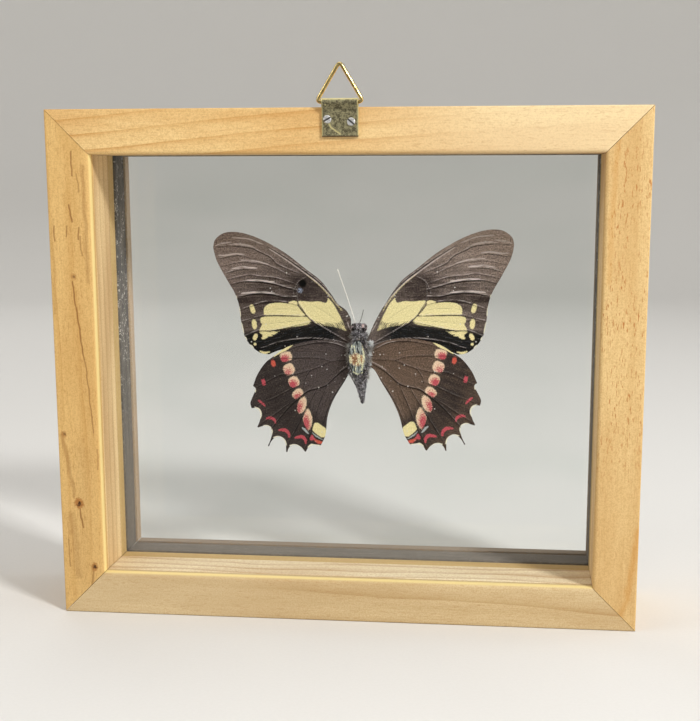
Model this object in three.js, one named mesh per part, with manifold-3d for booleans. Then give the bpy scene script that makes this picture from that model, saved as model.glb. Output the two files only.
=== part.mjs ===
// A butterfly specimen held between two panes of glass in a deep pine frame with a triangle hanger.
// Millimetres, +Z up. The origin is the middle of the frame's bottom face. The hanger is on the -Y face,
// and the underside of the butterfly faces the same way.
import * as THREE from "three";
import { mergeVertices } from "three/addons/utils/BufferGeometryUtils.js";
import Module from "manifold-3d";

const wasm = await Module();
wasm.setup();

// Frame
const FRAME_WIDTH = 203;
const FRAME_HEIGHT = 177;
const FRAME_DEPTH = 48;
const BACK = -FRAME_DEPTH / 2;
const FRONT = FRAME_DEPTH / 2;
const RAIL_FACE = 15; // width of the rail as seen from the back
const RAIL_WALL = 12; // what is left of the rail beside its rebate
const BACK_LIP = 4.7; // depth of the lip behind which everything is stacked
const ARRIS_OUTSIDE = 0.6;
const ARRIS_INSIDE = 0.9;
const MITRE_GAP = 0.1; // taken off each end at the 45 degree cut
const SEAT_GAP = 0.15; // between a piece and what it rests against

// What lies in the rebate, from the back lip to the front face: distances from the back face
const LINER_END = 22;
const STOP_END = 28;
const PANE_THICKNESS = 2;
const SPACER_END = 41;
const PANE_EDGE_PLAY = 0.5;

// Hanger
const HANGER_X = -0.3;
const PLATE_WIDTH = 12.1;
const PLATE_BOTTOM = 167.4;
const SHEET = 0.4;
const WIRE_RADIUS = 0.65;
const WIRE_PLAY = 0.15;
const FOLD_RADIUS = WIRE_RADIUS + WIRE_PLAY + SHEET;
const PIVOT = { y: BACK - SEAT_GAP - FOLD_RADIUS, z: FRAME_HEIGHT + 1.55 };
const RING_HALF_WIDTH = 7.05;
const RING_HEIGHT = 12.1;
const SCREW_PLACES = { hanger_screw_left: [-4.2, 173.0], hanger_screw_right: [3.7, 172.2] };
const SCREW_SLOT_TURN = { hanger_screw_left: 0.5, hanger_screw_right: -0.7 };
const SCREW_HEAD_RADIUS = 1.35;
const SCREW_HEAD_HEIGHT = 0.62;
const SHANK_RADIUS = 0.65;
const SHANK_LENGTH = 9;
const PILOT_RADIUS = 0.9;

// Butterfly: its midline, the height of its wing roots and how far behind the back face they lie
const MIDLINE = new THREE.Vector3(2.1, BACK + 34.8, FRAME_HEIGHT / 2);
const WING_THICKNESS = 0.4;
const FOREWING_DEPTH = 0.9; // behind the midline
const HINDWING_DEPTH = 0.1;
const THORAX = { width: 7.6, depth: 8.2, height: 14, z: 1.4 };
const BODY_SHIFT = -0.4; // the body lies a little to the left between the wing roots
const WING_ROOT_GAP = 0.25;
const GLUE_THICKNESS = 0.5;

const FINISHES = {
  pine: { color: 0xe1be82, roughness: 0.6, metalness: 0 },
  liner: { color: 0xd9b184, roughness: 0.65, metalness: 0 },
  stop: { color: 0xe6cb8c, roughness: 0.6, metalness: 0 },
  spacer: { color: 0x55534f, roughness: 0.8, metalness: 0 },
  glass: { color: 0xe8f2ee, roughness: 0.05, metalness: 0, transparent: true, opacity: 0.2 },
  plate: { color: 0x6d6849, roughness: 0.45, metalness: 0.8 },
  ring: { color: 0xd2a93f, roughness: 0.25, metalness: 1 },
  screw: { color: 0xc9c9c6, roughness: 0.3, metalness: 1 },
  body: { color: 0x4b4844, roughness: 0.9, metalness: 0 },
  wing: { color: 0x53463f, roughness: 0.85, metalness: 0 },
  glue: { color: 0xe4d6ae, roughness: 0.4, metalness: 0 },
};

const group = new THREE.Group();
group.name = "framed_butterfly_specimen";

/** Makes a named mesh in one of the finishes and adds it to a parent. */
function addMesh(name, geometry, finish, parent = group) {
  const mesh = new THREE.Mesh(geometry, new THREE.MeshStandardMaterial(FINISHES[finish]));
  mesh.name = name;
  parent.add(mesh);
  return mesh;
}

// --- Joining and cutting ---

/** Turns a closed geometry into a solid that can be joined and cut. */
function toSolid(geometry) {
  const bare = geometry.clone();
  bare.deleteAttribute("normal");
  bare.deleteAttribute("uv");
  const merged = mergeVertices(bare, 1e-4);
  return new wasm.Manifold(
    new wasm.Mesh({
      numProp: 3,
      vertProperties: new Float32Array(merged.getAttribute("position").array),
      triVerts: new Uint32Array(merged.index.array),
    }),
  );
}

/** Turns a solid back into a geometry. */
function toGeometry(solid) {
  const mesh = solid.getMesh();
  const geometry = new THREE.BufferGeometry();
  geometry.setAttribute("position", new THREE.BufferAttribute(mesh.vertProperties, 3));
  geometry.setIndex(new THREE.BufferAttribute(mesh.triVerts, 1));
  geometry.computeVertexNormals();
  return geometry;
}

/** Joins overlapping closed geometries into one. */
function join(geometries) {
  const solids = geometries.map(toSolid);
  return toGeometry(solids.reduce((whole, piece) => whole.add(piece)));
}

/** Cuts the tools out of a closed geometry. */
function cut(geometry, tools) {
  const whole = toSolid(geometry);
  return toGeometry(tools.map(toSolid).reduce((rest, tool) => rest.subtract(tool), whole));
}

// --- Frame ---

/** An axis-aligned rectangle as points, between two corners. */
function rectangle(x0, y0, x1, y1) {
  return [
    new THREE.Vector2(x0, y0),
    new THREE.Vector2(x1, y0),
    new THREE.Vector2(x1, y1),
    new THREE.Vector2(x0, y1),
  ];
}

/** The rail's section as (inward, depth) points, with eased arrises and the rebate open to the front. */
function railSection() {
  const shape = new THREE.Shape();
  const lipEnd = BACK + BACK_LIP;
  shape.moveTo(ARRIS_OUTSIDE, BACK);
  shape.lineTo(RAIL_FACE - ARRIS_INSIDE, BACK);
  shape.absarc(RAIL_FACE - ARRIS_INSIDE, BACK + ARRIS_INSIDE, ARRIS_INSIDE, -Math.PI / 2, 0);
  shape.lineTo(RAIL_FACE, lipEnd);
  shape.lineTo(RAIL_WALL, lipEnd);
  shape.lineTo(RAIL_WALL, FRONT);
  shape.lineTo(ARRIS_OUTSIDE, FRONT);
  shape.absarc(ARRIS_OUTSIDE, FRONT - ARRIS_OUTSIDE, ARRIS_OUTSIDE, Math.PI / 2, Math.PI);
  shape.lineTo(0, BACK + ARRIS_OUTSIDE);
  shape.absarc(ARRIS_OUTSIDE, BACK + ARRIS_OUTSIDE, ARRIS_OUTSIDE, Math.PI, 1.5 * Math.PI);
  return shape;
}

/** The section of a strip that fills the rebate between two depths measured from the back face. */
function stripSection(from, to) {
  const outer = RAIL_WALL + SEAT_GAP;
  return new THREE.Shape(rectangle(outer, BACK + from + SEAT_GAP, RAIL_FACE, BACK + to));
}

/** A strip with 45 degree ends. It lies along X, with its outer edge at z = 0 and inward along +Z. */
function mitredStrip(section, outerLength) {
  const geometry = new THREE.ExtrudeGeometry(section, { depth: 1, bevelEnabled: false, curveSegments: 5 });
  const place = geometry.getAttribute("position");
  for (let i = 0; i < place.count; i++) {
    const inward = place.getX(i);
    const end = place.getZ(i) < 0.5 ? 1 : -1;
    place.setXYZ(i, end * (outerLength / 2 - inward - MITRE_GAP), place.getY(i), inward);
  }
  return geometry;
}

const SIDES = {
  bottom: { length: FRAME_WIDTH, turn: 0, x: 0, z: 0 },
  top: { length: FRAME_WIDTH, turn: Math.PI, x: 0, z: FRAME_HEIGHT },
  left: { length: FRAME_HEIGHT, turn: Math.PI / 2, x: -FRAME_WIDTH / 2, z: FRAME_HEIGHT / 2 },
  right: { length: FRAME_HEIGHT, turn: -Math.PI / 2, x: FRAME_WIDTH / 2, z: FRAME_HEIGHT / 2 },
};

/** Four mitred strips of one section, named prefix_bottom, prefix_top, prefix_left and prefix_right. */
function addMitredFrame(prefix, section, finish) {
  for (const [side, { length, turn, x, z }] of Object.entries(SIDES)) {
    const mesh = addMesh(`${prefix}_${side}`, mitredStrip(section, length), finish);
    mesh.position.set(x, 0, z);
    mesh.rotation.y = turn;
  }
}

/** A pane of glass whose back surface lies at a distance from the back face. */
function addPane(name, from) {
  const inset = 2 * (RAIL_WALL + PANE_EDGE_PLAY);
  const pane = new THREE.BoxGeometry(FRAME_WIDTH - inset, PANE_THICKNESS, FRAME_HEIGHT - inset);
  addMesh(name, pane, "glass").position.set(0, BACK + from + PANE_THICKNESS / 2, FRAME_HEIGHT / 2);
}

/** Drills the hanger's two pilot holes into the top rail, in the rail's own position. */
function drillTopRail() {
  const rail = group.getObjectByName("rail_top");
  const holes = Object.values(SCREW_PLACES).map(([x, z]) => {
    const depth = SHANK_LENGTH + 2;
    const hole = new THREE.CylinderGeometry(PILOT_RADIUS, PILOT_RADIUS, depth, 20);
    return hole.translate(-HANGER_X - x, BACK + depth / 2 - 1, FRAME_HEIGHT - z);
  });
  rail.geometry = cut(rail.geometry, holes);
}

// --- Hanger ---

/** The folded plate: two layers of sheet up to a loop that the ring's bar turns in. */
function plateGeometry() {
  const shape = new THREE.Shape();
  const backFace = BACK - SEAT_GAP;
  const frontFace = backFace - 2 * SHEET;
  const meet = Math.acos((frontFace - PIVOT.y) / FOLD_RADIUS);
  shape.moveTo(frontFace, PLATE_BOTTOM);
  shape.lineTo(backFace, PLATE_BOTTOM);
  shape.lineTo(backFace, PIVOT.z);
  shape.absarc(PIVOT.y, PIVOT.z, FOLD_RADIUS, 0, 2 * Math.PI - meet);
  shape.lineTo(frontFace, PLATE_BOTTOM);
  const loop = new THREE.Path();
  loop.absarc(PIVOT.y, PIVOT.z, FOLD_RADIUS - SHEET, 0, 2 * Math.PI, true);
  shape.holes.push(loop);
  const plate = new THREE.ExtrudeGeometry(shape, {
    depth: PLATE_WIDTH,
    bevelEnabled: false,
    curveSegments: 18,
  });
  plate.applyMatrix4(
    new THREE.Matrix4().makeBasis(
      new THREE.Vector3(0, 1, 0),
      new THREE.Vector3(0, 0, 1),
      new THREE.Vector3(1, 0, 0),
    ),
  );
  plate.translate(HANGER_X - PLATE_WIDTH / 2, 0, 0);
  const holes = Object.values(SCREW_PLACES).map(([x, z]) =>
    new THREE.CylinderGeometry(PILOT_RADIUS, PILOT_RADIUS, 4, 20).translate(HANGER_X + x, BACK - 0.6, z),
  );
  return cut(plate, holes);
}

/** The triangular wire ring, standing up from its bar. The wire's two ends meet inside the fold. */
function ringGeometry() {
  const buttGap = 0.25;
  const corner = 1.9;
  const apex = new THREE.Vector3(0, 0, RING_HEIGHT);
  const low = (side) => new THREE.Vector3(side * RING_HALF_WIDTH, 0, 0);
  const middle = (side) => new THREE.Vector3(side * buttGap, 0, 0);
  const path = new THREE.CurvePath();
  let from = middle(1);
  const bend = (at, next, cornerLength) => {
    const arrive = at.clone().sub(at.clone().sub(from).setLength(cornerLength));
    const leave = at.clone().add(next.clone().sub(at).setLength(cornerLength));
    path.add(new THREE.LineCurve3(from, arrive));
    path.add(new THREE.QuadraticBezierCurve3(arrive, at, leave));
    from = leave;
  };
  const lowRight = low(1).setX(RING_HALF_WIDTH + 0.75);
  const lowLeft = low(-1).setX(-RING_HALF_WIDTH - 0.75);
  const top = apex.clone().setZ(RING_HEIGHT + 0.75);
  bend(lowRight, top, corner);
  bend(top, lowLeft, corner);
  bend(lowLeft, middle(-1), corner);
  path.add(new THREE.LineCurve3(from, middle(-1)));
  const section = new THREE.Shape().absarc(0, 0, WIRE_RADIUS, 0, 2 * Math.PI);
  return new THREE.ExtrudeGeometry(section, { steps: 72, extrudePath: path, curveSegments: 5 });
}

/** A slotted dome-head screw that points along +Y, with its head's underside at y = 0. */
function screwGeometry(slotTurn) {
  const profile = [
    [0, SHANK_LENGTH],
    [SHANK_RADIUS, SHANK_LENGTH - 1.8],
    [SHANK_RADIUS, 0],
    [SCREW_HEAD_RADIUS, 0],
    [SCREW_HEAD_RADIUS, -SCREW_HEAD_HEIGHT * 0.45],
    [SCREW_HEAD_RADIUS * 0.8, -SCREW_HEAD_HEIGHT * 0.85],
    [0, -SCREW_HEAD_HEIGHT],
  ];
  const points = profile.map(([radius, y]) => new THREE.Vector2(radius, y));
  const screw = new THREE.LatheGeometry(points.reverse(), 24);
  const slot = new THREE.BoxGeometry(3 * SCREW_HEAD_RADIUS, 0.6, 0.42);
  slot.rotateY(slotTurn);
  slot.translate(0, -SCREW_HEAD_HEIGHT - 0.3 + 0.32, 0);
  return cut(screw, [slot]);
}

function addHanger() {
  addMesh("hanger_plate", plateGeometry(), "plate");
  const ring = addMesh("hanger_ring", ringGeometry(), "ring");
  ring.position.set(HANGER_X, PIVOT.y, PIVOT.z);
  for (const [name, [x, z]] of Object.entries(SCREW_PLACES)) {
    const screw = addMesh(name, screwGeometry(SCREW_SLOT_TURN[name]), "screw");
    screw.position.set(HANGER_X + x, BACK - SEAT_GAP - 2 * SHEET - SEAT_GAP, z);
  }
}

// --- Butterfly ---

// Outlines run from the wing's root along its leading edge: mm outward from the midline, and up
const FOREWING_LEADING = [
  [1.8, 6.6], [2.9, 8.6], [4.2, 11.6], [5.8, 15.0], [8.7, 20.0], [14.4, 28.3], [20.6, 33.4], [28.3, 39.4],
  [37.2, 44.4], [44.9, 47.0], [50.8, 47.0], [54.5, 44.6], [55.4, 41.6],
];
const FOREWING_OUTER = [
  [55.4, 41.6], [54.3, 36.9], [51.0, 30.4], [48.0, 25.0], [46.5, 20.5], [46.1, 16.2],
  [45.1, 10.0], [42.9, 5.8], [39.1, 2.7], [35.6, 2.0],
];
const FOREWING_INNER = [[35.6, 2.0], [30.0, 3.9], [20.0, 4.6], [8.0, 3.6], [1.8, 3.2]];

const HINDWING_LEADING = [
  [1.8, 1.2], [4.4, 3.4], [6.6, 5.7], [10.8, 7.4], [16.4, 8.0], [23.1, 7.3], [29.1, 5.7],
  [33.8, 2.8], [37.4, 0.3], [40.8, -4.0], [42.8, -8.3],
];
const HINDWING_SHOULDER = [[42.8, -8.3], [41.9, -9.4], [43.4, -12.6], [44.3, -14.6], [44.1, -16.2]];
// Each scallop is an arch to the next tooth: two control points, then the tooth's tip
const HINDWING_SCALLOPS = [
  [[39.8, -15.8], [40.2, -20.5], [42.3, -23.7]],
  [[35.6, -21.6], [36.0, -26.7], [38.8, -31.2]],
  [[36.3, -26.0], [30.9, -26.2], [31.9, -33.7]],
  [[30.3, -29.4], [26.3, -30.8], [24.6, -33.7]],
  [[23.2, -31.0], [20.5, -30.9], [18.6, -31.7]],
];
const TOOTH_WIDTH = 0.5; // a tooth is blunt by this much at its tip
const HINDWING_INNER = [[16.2, -27.6], [14.4, -21.0], [11.8, -15.0], [7.8, -8.3], [5.0, -3.6], [1.8, -2.0]];

// How each wing sits: turned about the midline in its own plane, shifted outward, tilted towards the front,
// and how far its inner edge is tucked in
const WING_SEATS = {
  forewing_right: { side: 1, turn: 0, shift: 0, tilt: 4.0, depth: FOREWING_DEPTH },
  forewing_left: { side: -1, turn: -1.33, shift: -1.0, tilt: 4.0, depth: FOREWING_DEPTH },
  hindwing_right: { side: 1, turn: 0, shift: 0, tilt: 3.2, depth: HINDWING_DEPTH, tuck: 0 },
  hindwing_left: { side: -1, turn: -3.25, shift: -1.6, tilt: 3.2, depth: HINDWING_DEPTH, tuck: 1.1 },
};

/** Lists a smooth curve through the given points, without its first point. */
function smooth(points, perSpan) {
  const curve = new THREE.SplineCurve(points.map(([x, y]) => new THREE.Vector2(x, y)));
  return curve.getPoints(perSpan * (points.length - 1)).slice(1);
}

/** Lists the scalloped edge from the first tooth to the last. */
function scallops() {
  let from = new THREE.Vector2(...HINDWING_SHOULDER.at(-1));
  return HINDWING_SCALLOPS.flatMap((points) => {
    const [leave, arrive, tip] = points.map(([x, y]) => new THREE.Vector2(x, y));
    const start = from.clone().add(tip.clone().sub(from).setLength(TOOTH_WIDTH));
    from = tip;
    return new THREE.CubicBezierCurve(start, leave, arrive, tip).getPoints(9);
  });
}

function forewingOutline() {
  return [FOREWING_LEADING, FOREWING_OUTER, FOREWING_INNER].flatMap((edge) => smooth(edge, 3));
}

/** The hindwing's outline, its inner edge tucked away from the abdomen by a distance. */
function hindwingOutline(tuck) {
  const last = HINDWING_INNER.length - 1;
  const inner = HINDWING_INNER.map(([x, y], i) => [x + tuck * Math.sin((Math.PI * i) / last), y]);
  const tip = HINDWING_SCALLOPS.at(-1).at(-1);
  const leading = [...smooth(HINDWING_LEADING, 3), ...smooth(HINDWING_SHOULDER, 2)];
  return [...leading, ...scallops(), ...smooth([tip, ...inner], 3)];
}

/** One wing as a thin plate in its own seat on the midline, its root cut to meet the body. */
function addWing(name, outline, parent) {
  const { side, turn, shift, tilt, depth } = WING_SEATS[name];
  const points = outline.map(({ x, y }) => new THREE.Vector2(side * x, y));
  const options = { depth: WING_THICKNESS, bevelEnabled: false };
  const plate = new THREE.ExtrudeGeometry(new THREE.Shape(points), options);
  plate.translate(0, 0, -WING_THICKNESS / 2);
  plate.rotateX(Math.PI / 2);
  const seat = new THREE.Group();
  seat.position.set(0, depth, 0);
  seat.rotation.z = side * THREE.MathUtils.degToRad(tilt);
  parent.add(seat);
  const wing = addMesh(name, plate, "wing", seat);
  wing.position.x = side * shift;
  wing.rotation.y = -side * THREE.MathUtils.degToRad(turn);
  seat.updateMatrix();
  wing.updateMatrix();
  const toWing = seat.matrix.clone().multiply(wing.matrix).invert();
  wing.geometry = cut(plate, trunkGeometries(WING_ROOT_GAP).map((piece) => piece.applyMatrix4(toWing)));
}

/** An ellipsoid by its width, depth and height. */
function ellipsoid(width, depth, height, centre, rings = 10) {
  const ball = new THREE.SphereGeometry(0.5, 2 * rings, rings);
  ball.rotateX(Math.PI / 2);
  return ball.scale(width, depth, height).translate(...centre);
}

/** A straight tapering limb between two points. */
function limb(from, to, radiusFrom, radiusTo) {
  const start = new THREE.Vector3(...from);
  const along = new THREE.Vector3(...to).sub(start);
  const rod = new THREE.CylinderGeometry(radiusTo, radiusFrom, along.length(), 7);
  rod.translate(0, along.length() / 2, 0);
  rod.applyQuaternion(new THREE.Quaternion().setFromUnitVectors(new THREE.Vector3(0, 1, 0), along.normalize()));
  return rod.translate(...start);
}

/** The abdomen: a tapering cone of rings that hangs below the thorax. */
function abdomenGeometry() {
  const rings = 6;
  const length = 10.8;
  const profile = [new THREE.Vector2(0, 1.5), new THREE.Vector2(2.5, 1)];
  for (let i = 0; i < rings; i++) {
    const radius = 2.75 * (1 - i / (rings + 0.9)) ** 0.8;
    const top = (-i * length) / rings;
    profile.push(new THREE.Vector2(radius, top - 0.3), new THREE.Vector2(radius * 0.97, top - 1.3));
    profile.push(new THREE.Vector2(radius * 0.86, top - length / rings + 0.1));
  }
  profile.push(new THREE.Vector2(0, -length));
  const cone = new THREE.LatheGeometry(profile.reverse(), 16);
  cone.rotateX(Math.PI / 2);
  cone.rotateY(THREE.MathUtils.degToRad(-2.5));
  return cone.translate(0, 0.3, -5.2);
}

/** Three pairs of legs folded against the thorax below the wings. */
function legGeometries() {
  const knees = [
    { hip: [1.6, -2.4, 5.6], knee: [3.6, -2.6, 2.6], foot: [2.2, -3.2, 7.6] },
    { hip: [1.9, -2.9, 2.4], knee: [4.0, -2.5, -1.6], foot: [2.4, -3.3, -4.4] },
    { hip: [1.6, -2.8, -1.0], knee: [3.3, -2.6, -4.6], foot: [1.8, -3.0, -7.4] },
  ];
  return [-1, 1].flatMap((side) =>
    knees.flatMap(({ hip, knee, foot }) => {
      const mirrored = ([x, y, z]) => [side * x, y, z];
      return [
        limb(mirrored(hip), mirrored(knee), 0.45, 0.36),
        limb(mirrored(knee), mirrored(foot), 0.34, 0.18),
        ellipsoid(0.8, 0.8, 0.8, mirrored(knee), 4),
      ];
    }),
  );
}

/** The thorax and the collar, grown on every side by a margin. */
function trunkGeometries(margin) {
  const { width, depth, height, z } = THORAX;
  const grown = (size) => size + 2 * margin;
  return [
    ellipsoid(grown(width), grown(depth), grown(height), [BODY_SHIFT, 0, z], 14),
    ellipsoid(grown(5.2), grown(5.6), grown(4.6), [BODY_SHIFT, -0.3, 8.6]),
  ];
}

/** Head, thorax, abdomen, eyes, palps and legs as one body, flattened where the glue holds it. */
function bodyGeometry() {
  const pieces = [ellipsoid(4.6, 4.2, 3.8, [0, -0.4, 11.7]), abdomenGeometry(), ...legGeometries()];
  for (const side of [-1, 1]) {
    pieces.push(ellipsoid(2.6, 3.0, 3.2, [side * 1.75, -0.6, 11.9], 8));
    pieces.push(limb([side * 0.5, -1.6, 11.2], [side * 0.7, -2.2, 13.6], 0.7, 0.3));
  }
  const shifted = pieces.map((piece) => piece.translate(BODY_SHIFT, 0, 0));
  const block = new THREE.BoxGeometry(30, 10, 60);
  block.translate(0, glueFace() - 5 + SEAT_GAP, 0);
  return cut(join([...trunkGeometries(0), ...shifted]), [block]);
}

/** How far the glue's free face lies in front of the midline, as a y below it. */
function glueFace() {
  return BACK + STOP_END + SEAT_GAP + PANE_THICKNESS + SEAT_GAP + GLUE_THICKNESS - MIDLINE.y;
}

/** The flat spot of glue that holds the thorax to the back pane. */
function glueGeometry() {
  const spot = new THREE.CylinderGeometry(2.1, 2.5, GLUE_THICKNESS, 28);
  spot.scale(1, 1, 2.1);
  return spot.translate(BODY_SHIFT, glueFace() - GLUE_THICKNESS / 2, 0);
}

/** One antenna as a thin stalk. */
function antennaGeometry(from, to) {
  return limb(from, to, 0.16, 0.2);
}

function addButterfly() {
  const specimen = new THREE.Group();
  specimen.position.copy(MIDLINE);
  group.add(specimen);
  addMesh("body", bodyGeometry(), "body", specimen);
  addMesh("glue_spot", glueGeometry(), "glue", specimen);
  addMesh("antenna_left", antennaGeometry([-2.0, -0.2, 14.0], [-8.8, 1.2, 33.0]), "body", specimen);
  addMesh("antenna_right", antennaGeometry([-0.2, -0.2, 14.0], [1.1, 0.6, 18.4]), "body", specimen);
  for (const [name, { tuck }] of Object.entries(WING_SEATS)) {
    addWing(name, tuck === undefined ? forewingOutline() : hindwingOutline(tuck), specimen);
  }
}

addMitredFrame("rail", railSection(), "pine");
drillTopRail();
addMitredFrame("liner", stripSection(BACK_LIP, LINER_END), "liner");
addMitredFrame("stop", stripSection(LINER_END, STOP_END), "stop");
addPane("glass_back", STOP_END + SEAT_GAP);
addMitredFrame("spacer", stripSection(STOP_END + PANE_THICKNESS + SEAT_GAP, SPACER_END), "spacer");
addPane("glass_front", SPACER_END + SEAT_GAP);
addMitredFrame("front_stop", stripSection(SPACER_END + PANE_THICKNESS + SEAT_GAP, FRAME_DEPTH), "stop");
addHanger();
addButterfly();

export default group;
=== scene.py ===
"""Dresses the framed butterfly specimen: pine joinery, two panes, a wire hanger and the butterfly itself.

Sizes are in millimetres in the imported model's frame (+Z up, the hanger on the -Y face) and become metres
where a mesh is made. A wing is drawn in its own plane: u runs outward from the midline, v runs up.
"""
import logging
import math
from dataclasses import dataclass, field, replace
from enum import Enum

import bpy
import numpy as np
from mathutils import Matrix, Vector, noise
from mathutils.geometry import delaunay_2d_cdt


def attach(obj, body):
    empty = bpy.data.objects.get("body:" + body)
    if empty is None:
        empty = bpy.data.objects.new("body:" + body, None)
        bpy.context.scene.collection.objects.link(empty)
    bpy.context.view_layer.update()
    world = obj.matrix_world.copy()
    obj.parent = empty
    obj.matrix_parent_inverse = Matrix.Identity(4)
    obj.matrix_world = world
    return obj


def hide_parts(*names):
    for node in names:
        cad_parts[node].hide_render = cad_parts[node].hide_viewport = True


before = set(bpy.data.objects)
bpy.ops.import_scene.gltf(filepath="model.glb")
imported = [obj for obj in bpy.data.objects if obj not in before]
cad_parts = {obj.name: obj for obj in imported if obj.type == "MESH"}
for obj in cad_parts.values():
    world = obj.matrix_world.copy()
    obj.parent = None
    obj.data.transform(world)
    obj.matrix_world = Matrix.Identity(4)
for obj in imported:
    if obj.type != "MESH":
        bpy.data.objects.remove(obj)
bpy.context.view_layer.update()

log = logging.getLogger("specimen")

MM = 0.001
Point = tuple[float, float]
Colour = tuple[float, float, float]
Faces = list[tuple[int, ...]]
Socket = bpy.types.NodeSocket
Material = bpy.types.Material

# The frame's driving sizes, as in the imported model
FRAME_WIDTH = 203.0
FRAME_HEIGHT = 177.0
BACK = -24.0
FRONT = 24.0
RAIL_FACE = 15.0
RAIL_WALL = 12.0
BACK_LIP = 4.7
MITRE_GAP = 0.1
SEAT_GAP = 0.15
LINER_END = 22.0
STOP_END = 28.0
PANE_THICKNESS = 2.0
SPACER_END = 41.0


class Rider(str, Enum):
    """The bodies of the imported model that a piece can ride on."""

    FRAME = "framed_specimen"
    RING = "ring"


class Slot(str, Enum):
    """Material slot names."""

    PINE = "pine"
    LINER = "liner"
    STOP = "stop"
    SPACER = "spacer"
    GLASS = "glass"
    PLATE = "hanger_plate"
    RING = "hanger_ring"
    SCREW = "screw"
    BODY = "body"
    WING = "wing"
    GLUE = "glue"


class Grain(Enum):
    """Which way a strip's grain runs: the axes that are along it, across its face and into its depth."""

    LEVEL = ("X", "Z", "Y")
    UPRIGHT = ("Z", "X", "Y")


def srgb(code: str) -> Colour:
    """Turns a colour such as 'e1be82' into the linear values that shaders take."""
    parts = [int(code[i:i + 2], 16) / 255 for i in (0, 2, 4)]
    return tuple(p / 12.92 if p <= 0.04045 else ((p + 0.055) / 1.055) ** 2.4 for p in parts)


# --- Meshes ---


def signed_volume(places: np.ndarray, faces: Faces) -> float:
    """Volume inside a closed mesh, negative where its faces point inwards.

    Args:
        places: The vertices, N by 3.
        faces: Vertex indices of each face.

    Returns:
        The volume.
    """
    total = 0.0
    for face in faces:
        a = places[face[0]]
        for b, c in zip(face[1:-1], face[2:]):
            total += float(np.dot(a, np.cross(places[b], places[c])))
    return total / 6


def make_piece(
    name: str,
    places: np.ndarray,
    faces: Faces,
    material: Material,
    replaces: tuple[str, ...] = (),
    rider: Rider = Rider.FRAME,
    smooth_below: float = 35.0,
) -> bpy.types.Object:
    """Makes a mesh object from millimetres and lets it ride on its body.

    Args:
        name: The piece's name.
        places: The vertices as an array of N rows, in mm.
        faces: Vertex indices of each face.
        material: Its finish.
        replaces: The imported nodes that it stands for.
        rider: The body that carries it.
        smooth_below: Edges flatter than this angle in degrees are shaded smooth.

    Returns:
        The object.
    """
    if signed_volume(places, faces) < 0:
        faces = [tuple(reversed(face)) for face in faces]
    mesh = bpy.data.meshes.new(name)
    mesh.from_pydata((places * MM).tolist(), [], faces)
    mesh.shade_smooth()
    mesh.set_sharp_from_angle(angle=math.radians(smooth_below))
    mesh.materials.append(material)
    piece = bpy.data.objects.new(name, mesh)
    bpy.context.scene.collection.objects.link(piece)
    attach(piece, rider.value)
    if replaces:
        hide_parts(*replaces)
    log.info("%s: %d faces", name, len(faces))
    return piece


def sweep(rings: np.ndarray) -> tuple[np.ndarray, Faces]:
    """Skins a row of equal rings and closes both ends.

    Args:
        rings: Array of rings, each an equal number of points in order.

    Returns:
        The vertices and the faces.
    """
    count, size, _ = rings.shape
    faces: Faces = []
    for i in range(count - 1):
        near, far = i * size, (i + 1) * size
        for j in range(size):
            k = (j + 1) % size
            faces.append((near + j, near + k, far + k, far + j))
    faces.append(tuple(reversed(range(size))))
    faces.append(tuple(range((count - 1) * size, count * size)))
    return rings.reshape(-1, 3), faces


def tube(path: np.ndarray, radii: np.ndarray, sides: int) -> tuple[np.ndarray, Faces]:
    """A round tube along a path, its frame carried along without twist.

    Args:
        path: The centreline, N by 3.
        radii: The radius at each of its points.
        sides: How many sides the tube has.

    Returns:
        The vertices and the faces.
    """
    tangents = np.gradient(path, axis=0)
    tangents /= np.linalg.norm(tangents, axis=1)[:, None]
    across = np.cross(tangents[0], [0.31, 0.95, 0.12])
    angles = np.linspace(0, 2 * math.pi, sides, endpoint=False)
    rings = []
    for centre, tangent, radius in zip(path, tangents, radii):
        across = across - tangent * np.dot(across, tangent)
        across /= np.linalg.norm(across)
        up = np.cross(tangent, across)
        rings.append(centre + radius * (np.cos(angles)[:, None] * across + np.sin(angles)[:, None] * up))
    return sweep(np.array(rings))


def join_parts(parts: list[tuple[np.ndarray, Faces]]) -> tuple[np.ndarray, Faces]:
    """Puts several meshes into one list of vertices and faces.

    Args:
        parts: Vertices and faces of each mesh.

    Returns:
        The vertices and the faces.
    """
    places, faces, start = [], [], 0
    for part_places, part_faces in parts:
        places.append(part_places)
        faces.extend(tuple(i + start for i in face) for face in part_faces)
        start += len(part_places)
    return np.vstack(places), faces


def smooth_path(points: list[Point], per_span: int = 8) -> np.ndarray:
    """A smooth curve through points, ends included, as a list of places.

    Args:
        points: The places to pass through.
        per_span: Steps between two of them.

    Returns:
        The places on the curve.
    """
    known = np.array(points, float)
    padded = np.vstack([known[:1], known, known[-1:]])
    steps = np.linspace(0, 1, per_span, endpoint=False)[:, None]
    spans = []
    for p0, p1, p2, p3 in zip(padded, padded[1:], padded[2:], padded[3:]):
        pull_in, pull_out = (p2 - p0) / 2, (p3 - p1) / 2
        cubic = (2 * p1 - 2 * p2 + pull_in + pull_out) * steps**3
        square = (-3 * p1 + 3 * p2 - 2 * pull_in - pull_out) * steps**2
        spans.append(cubic + square + pull_in * steps + p1)
    return np.vstack([*spans, known[-1:]])


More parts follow.
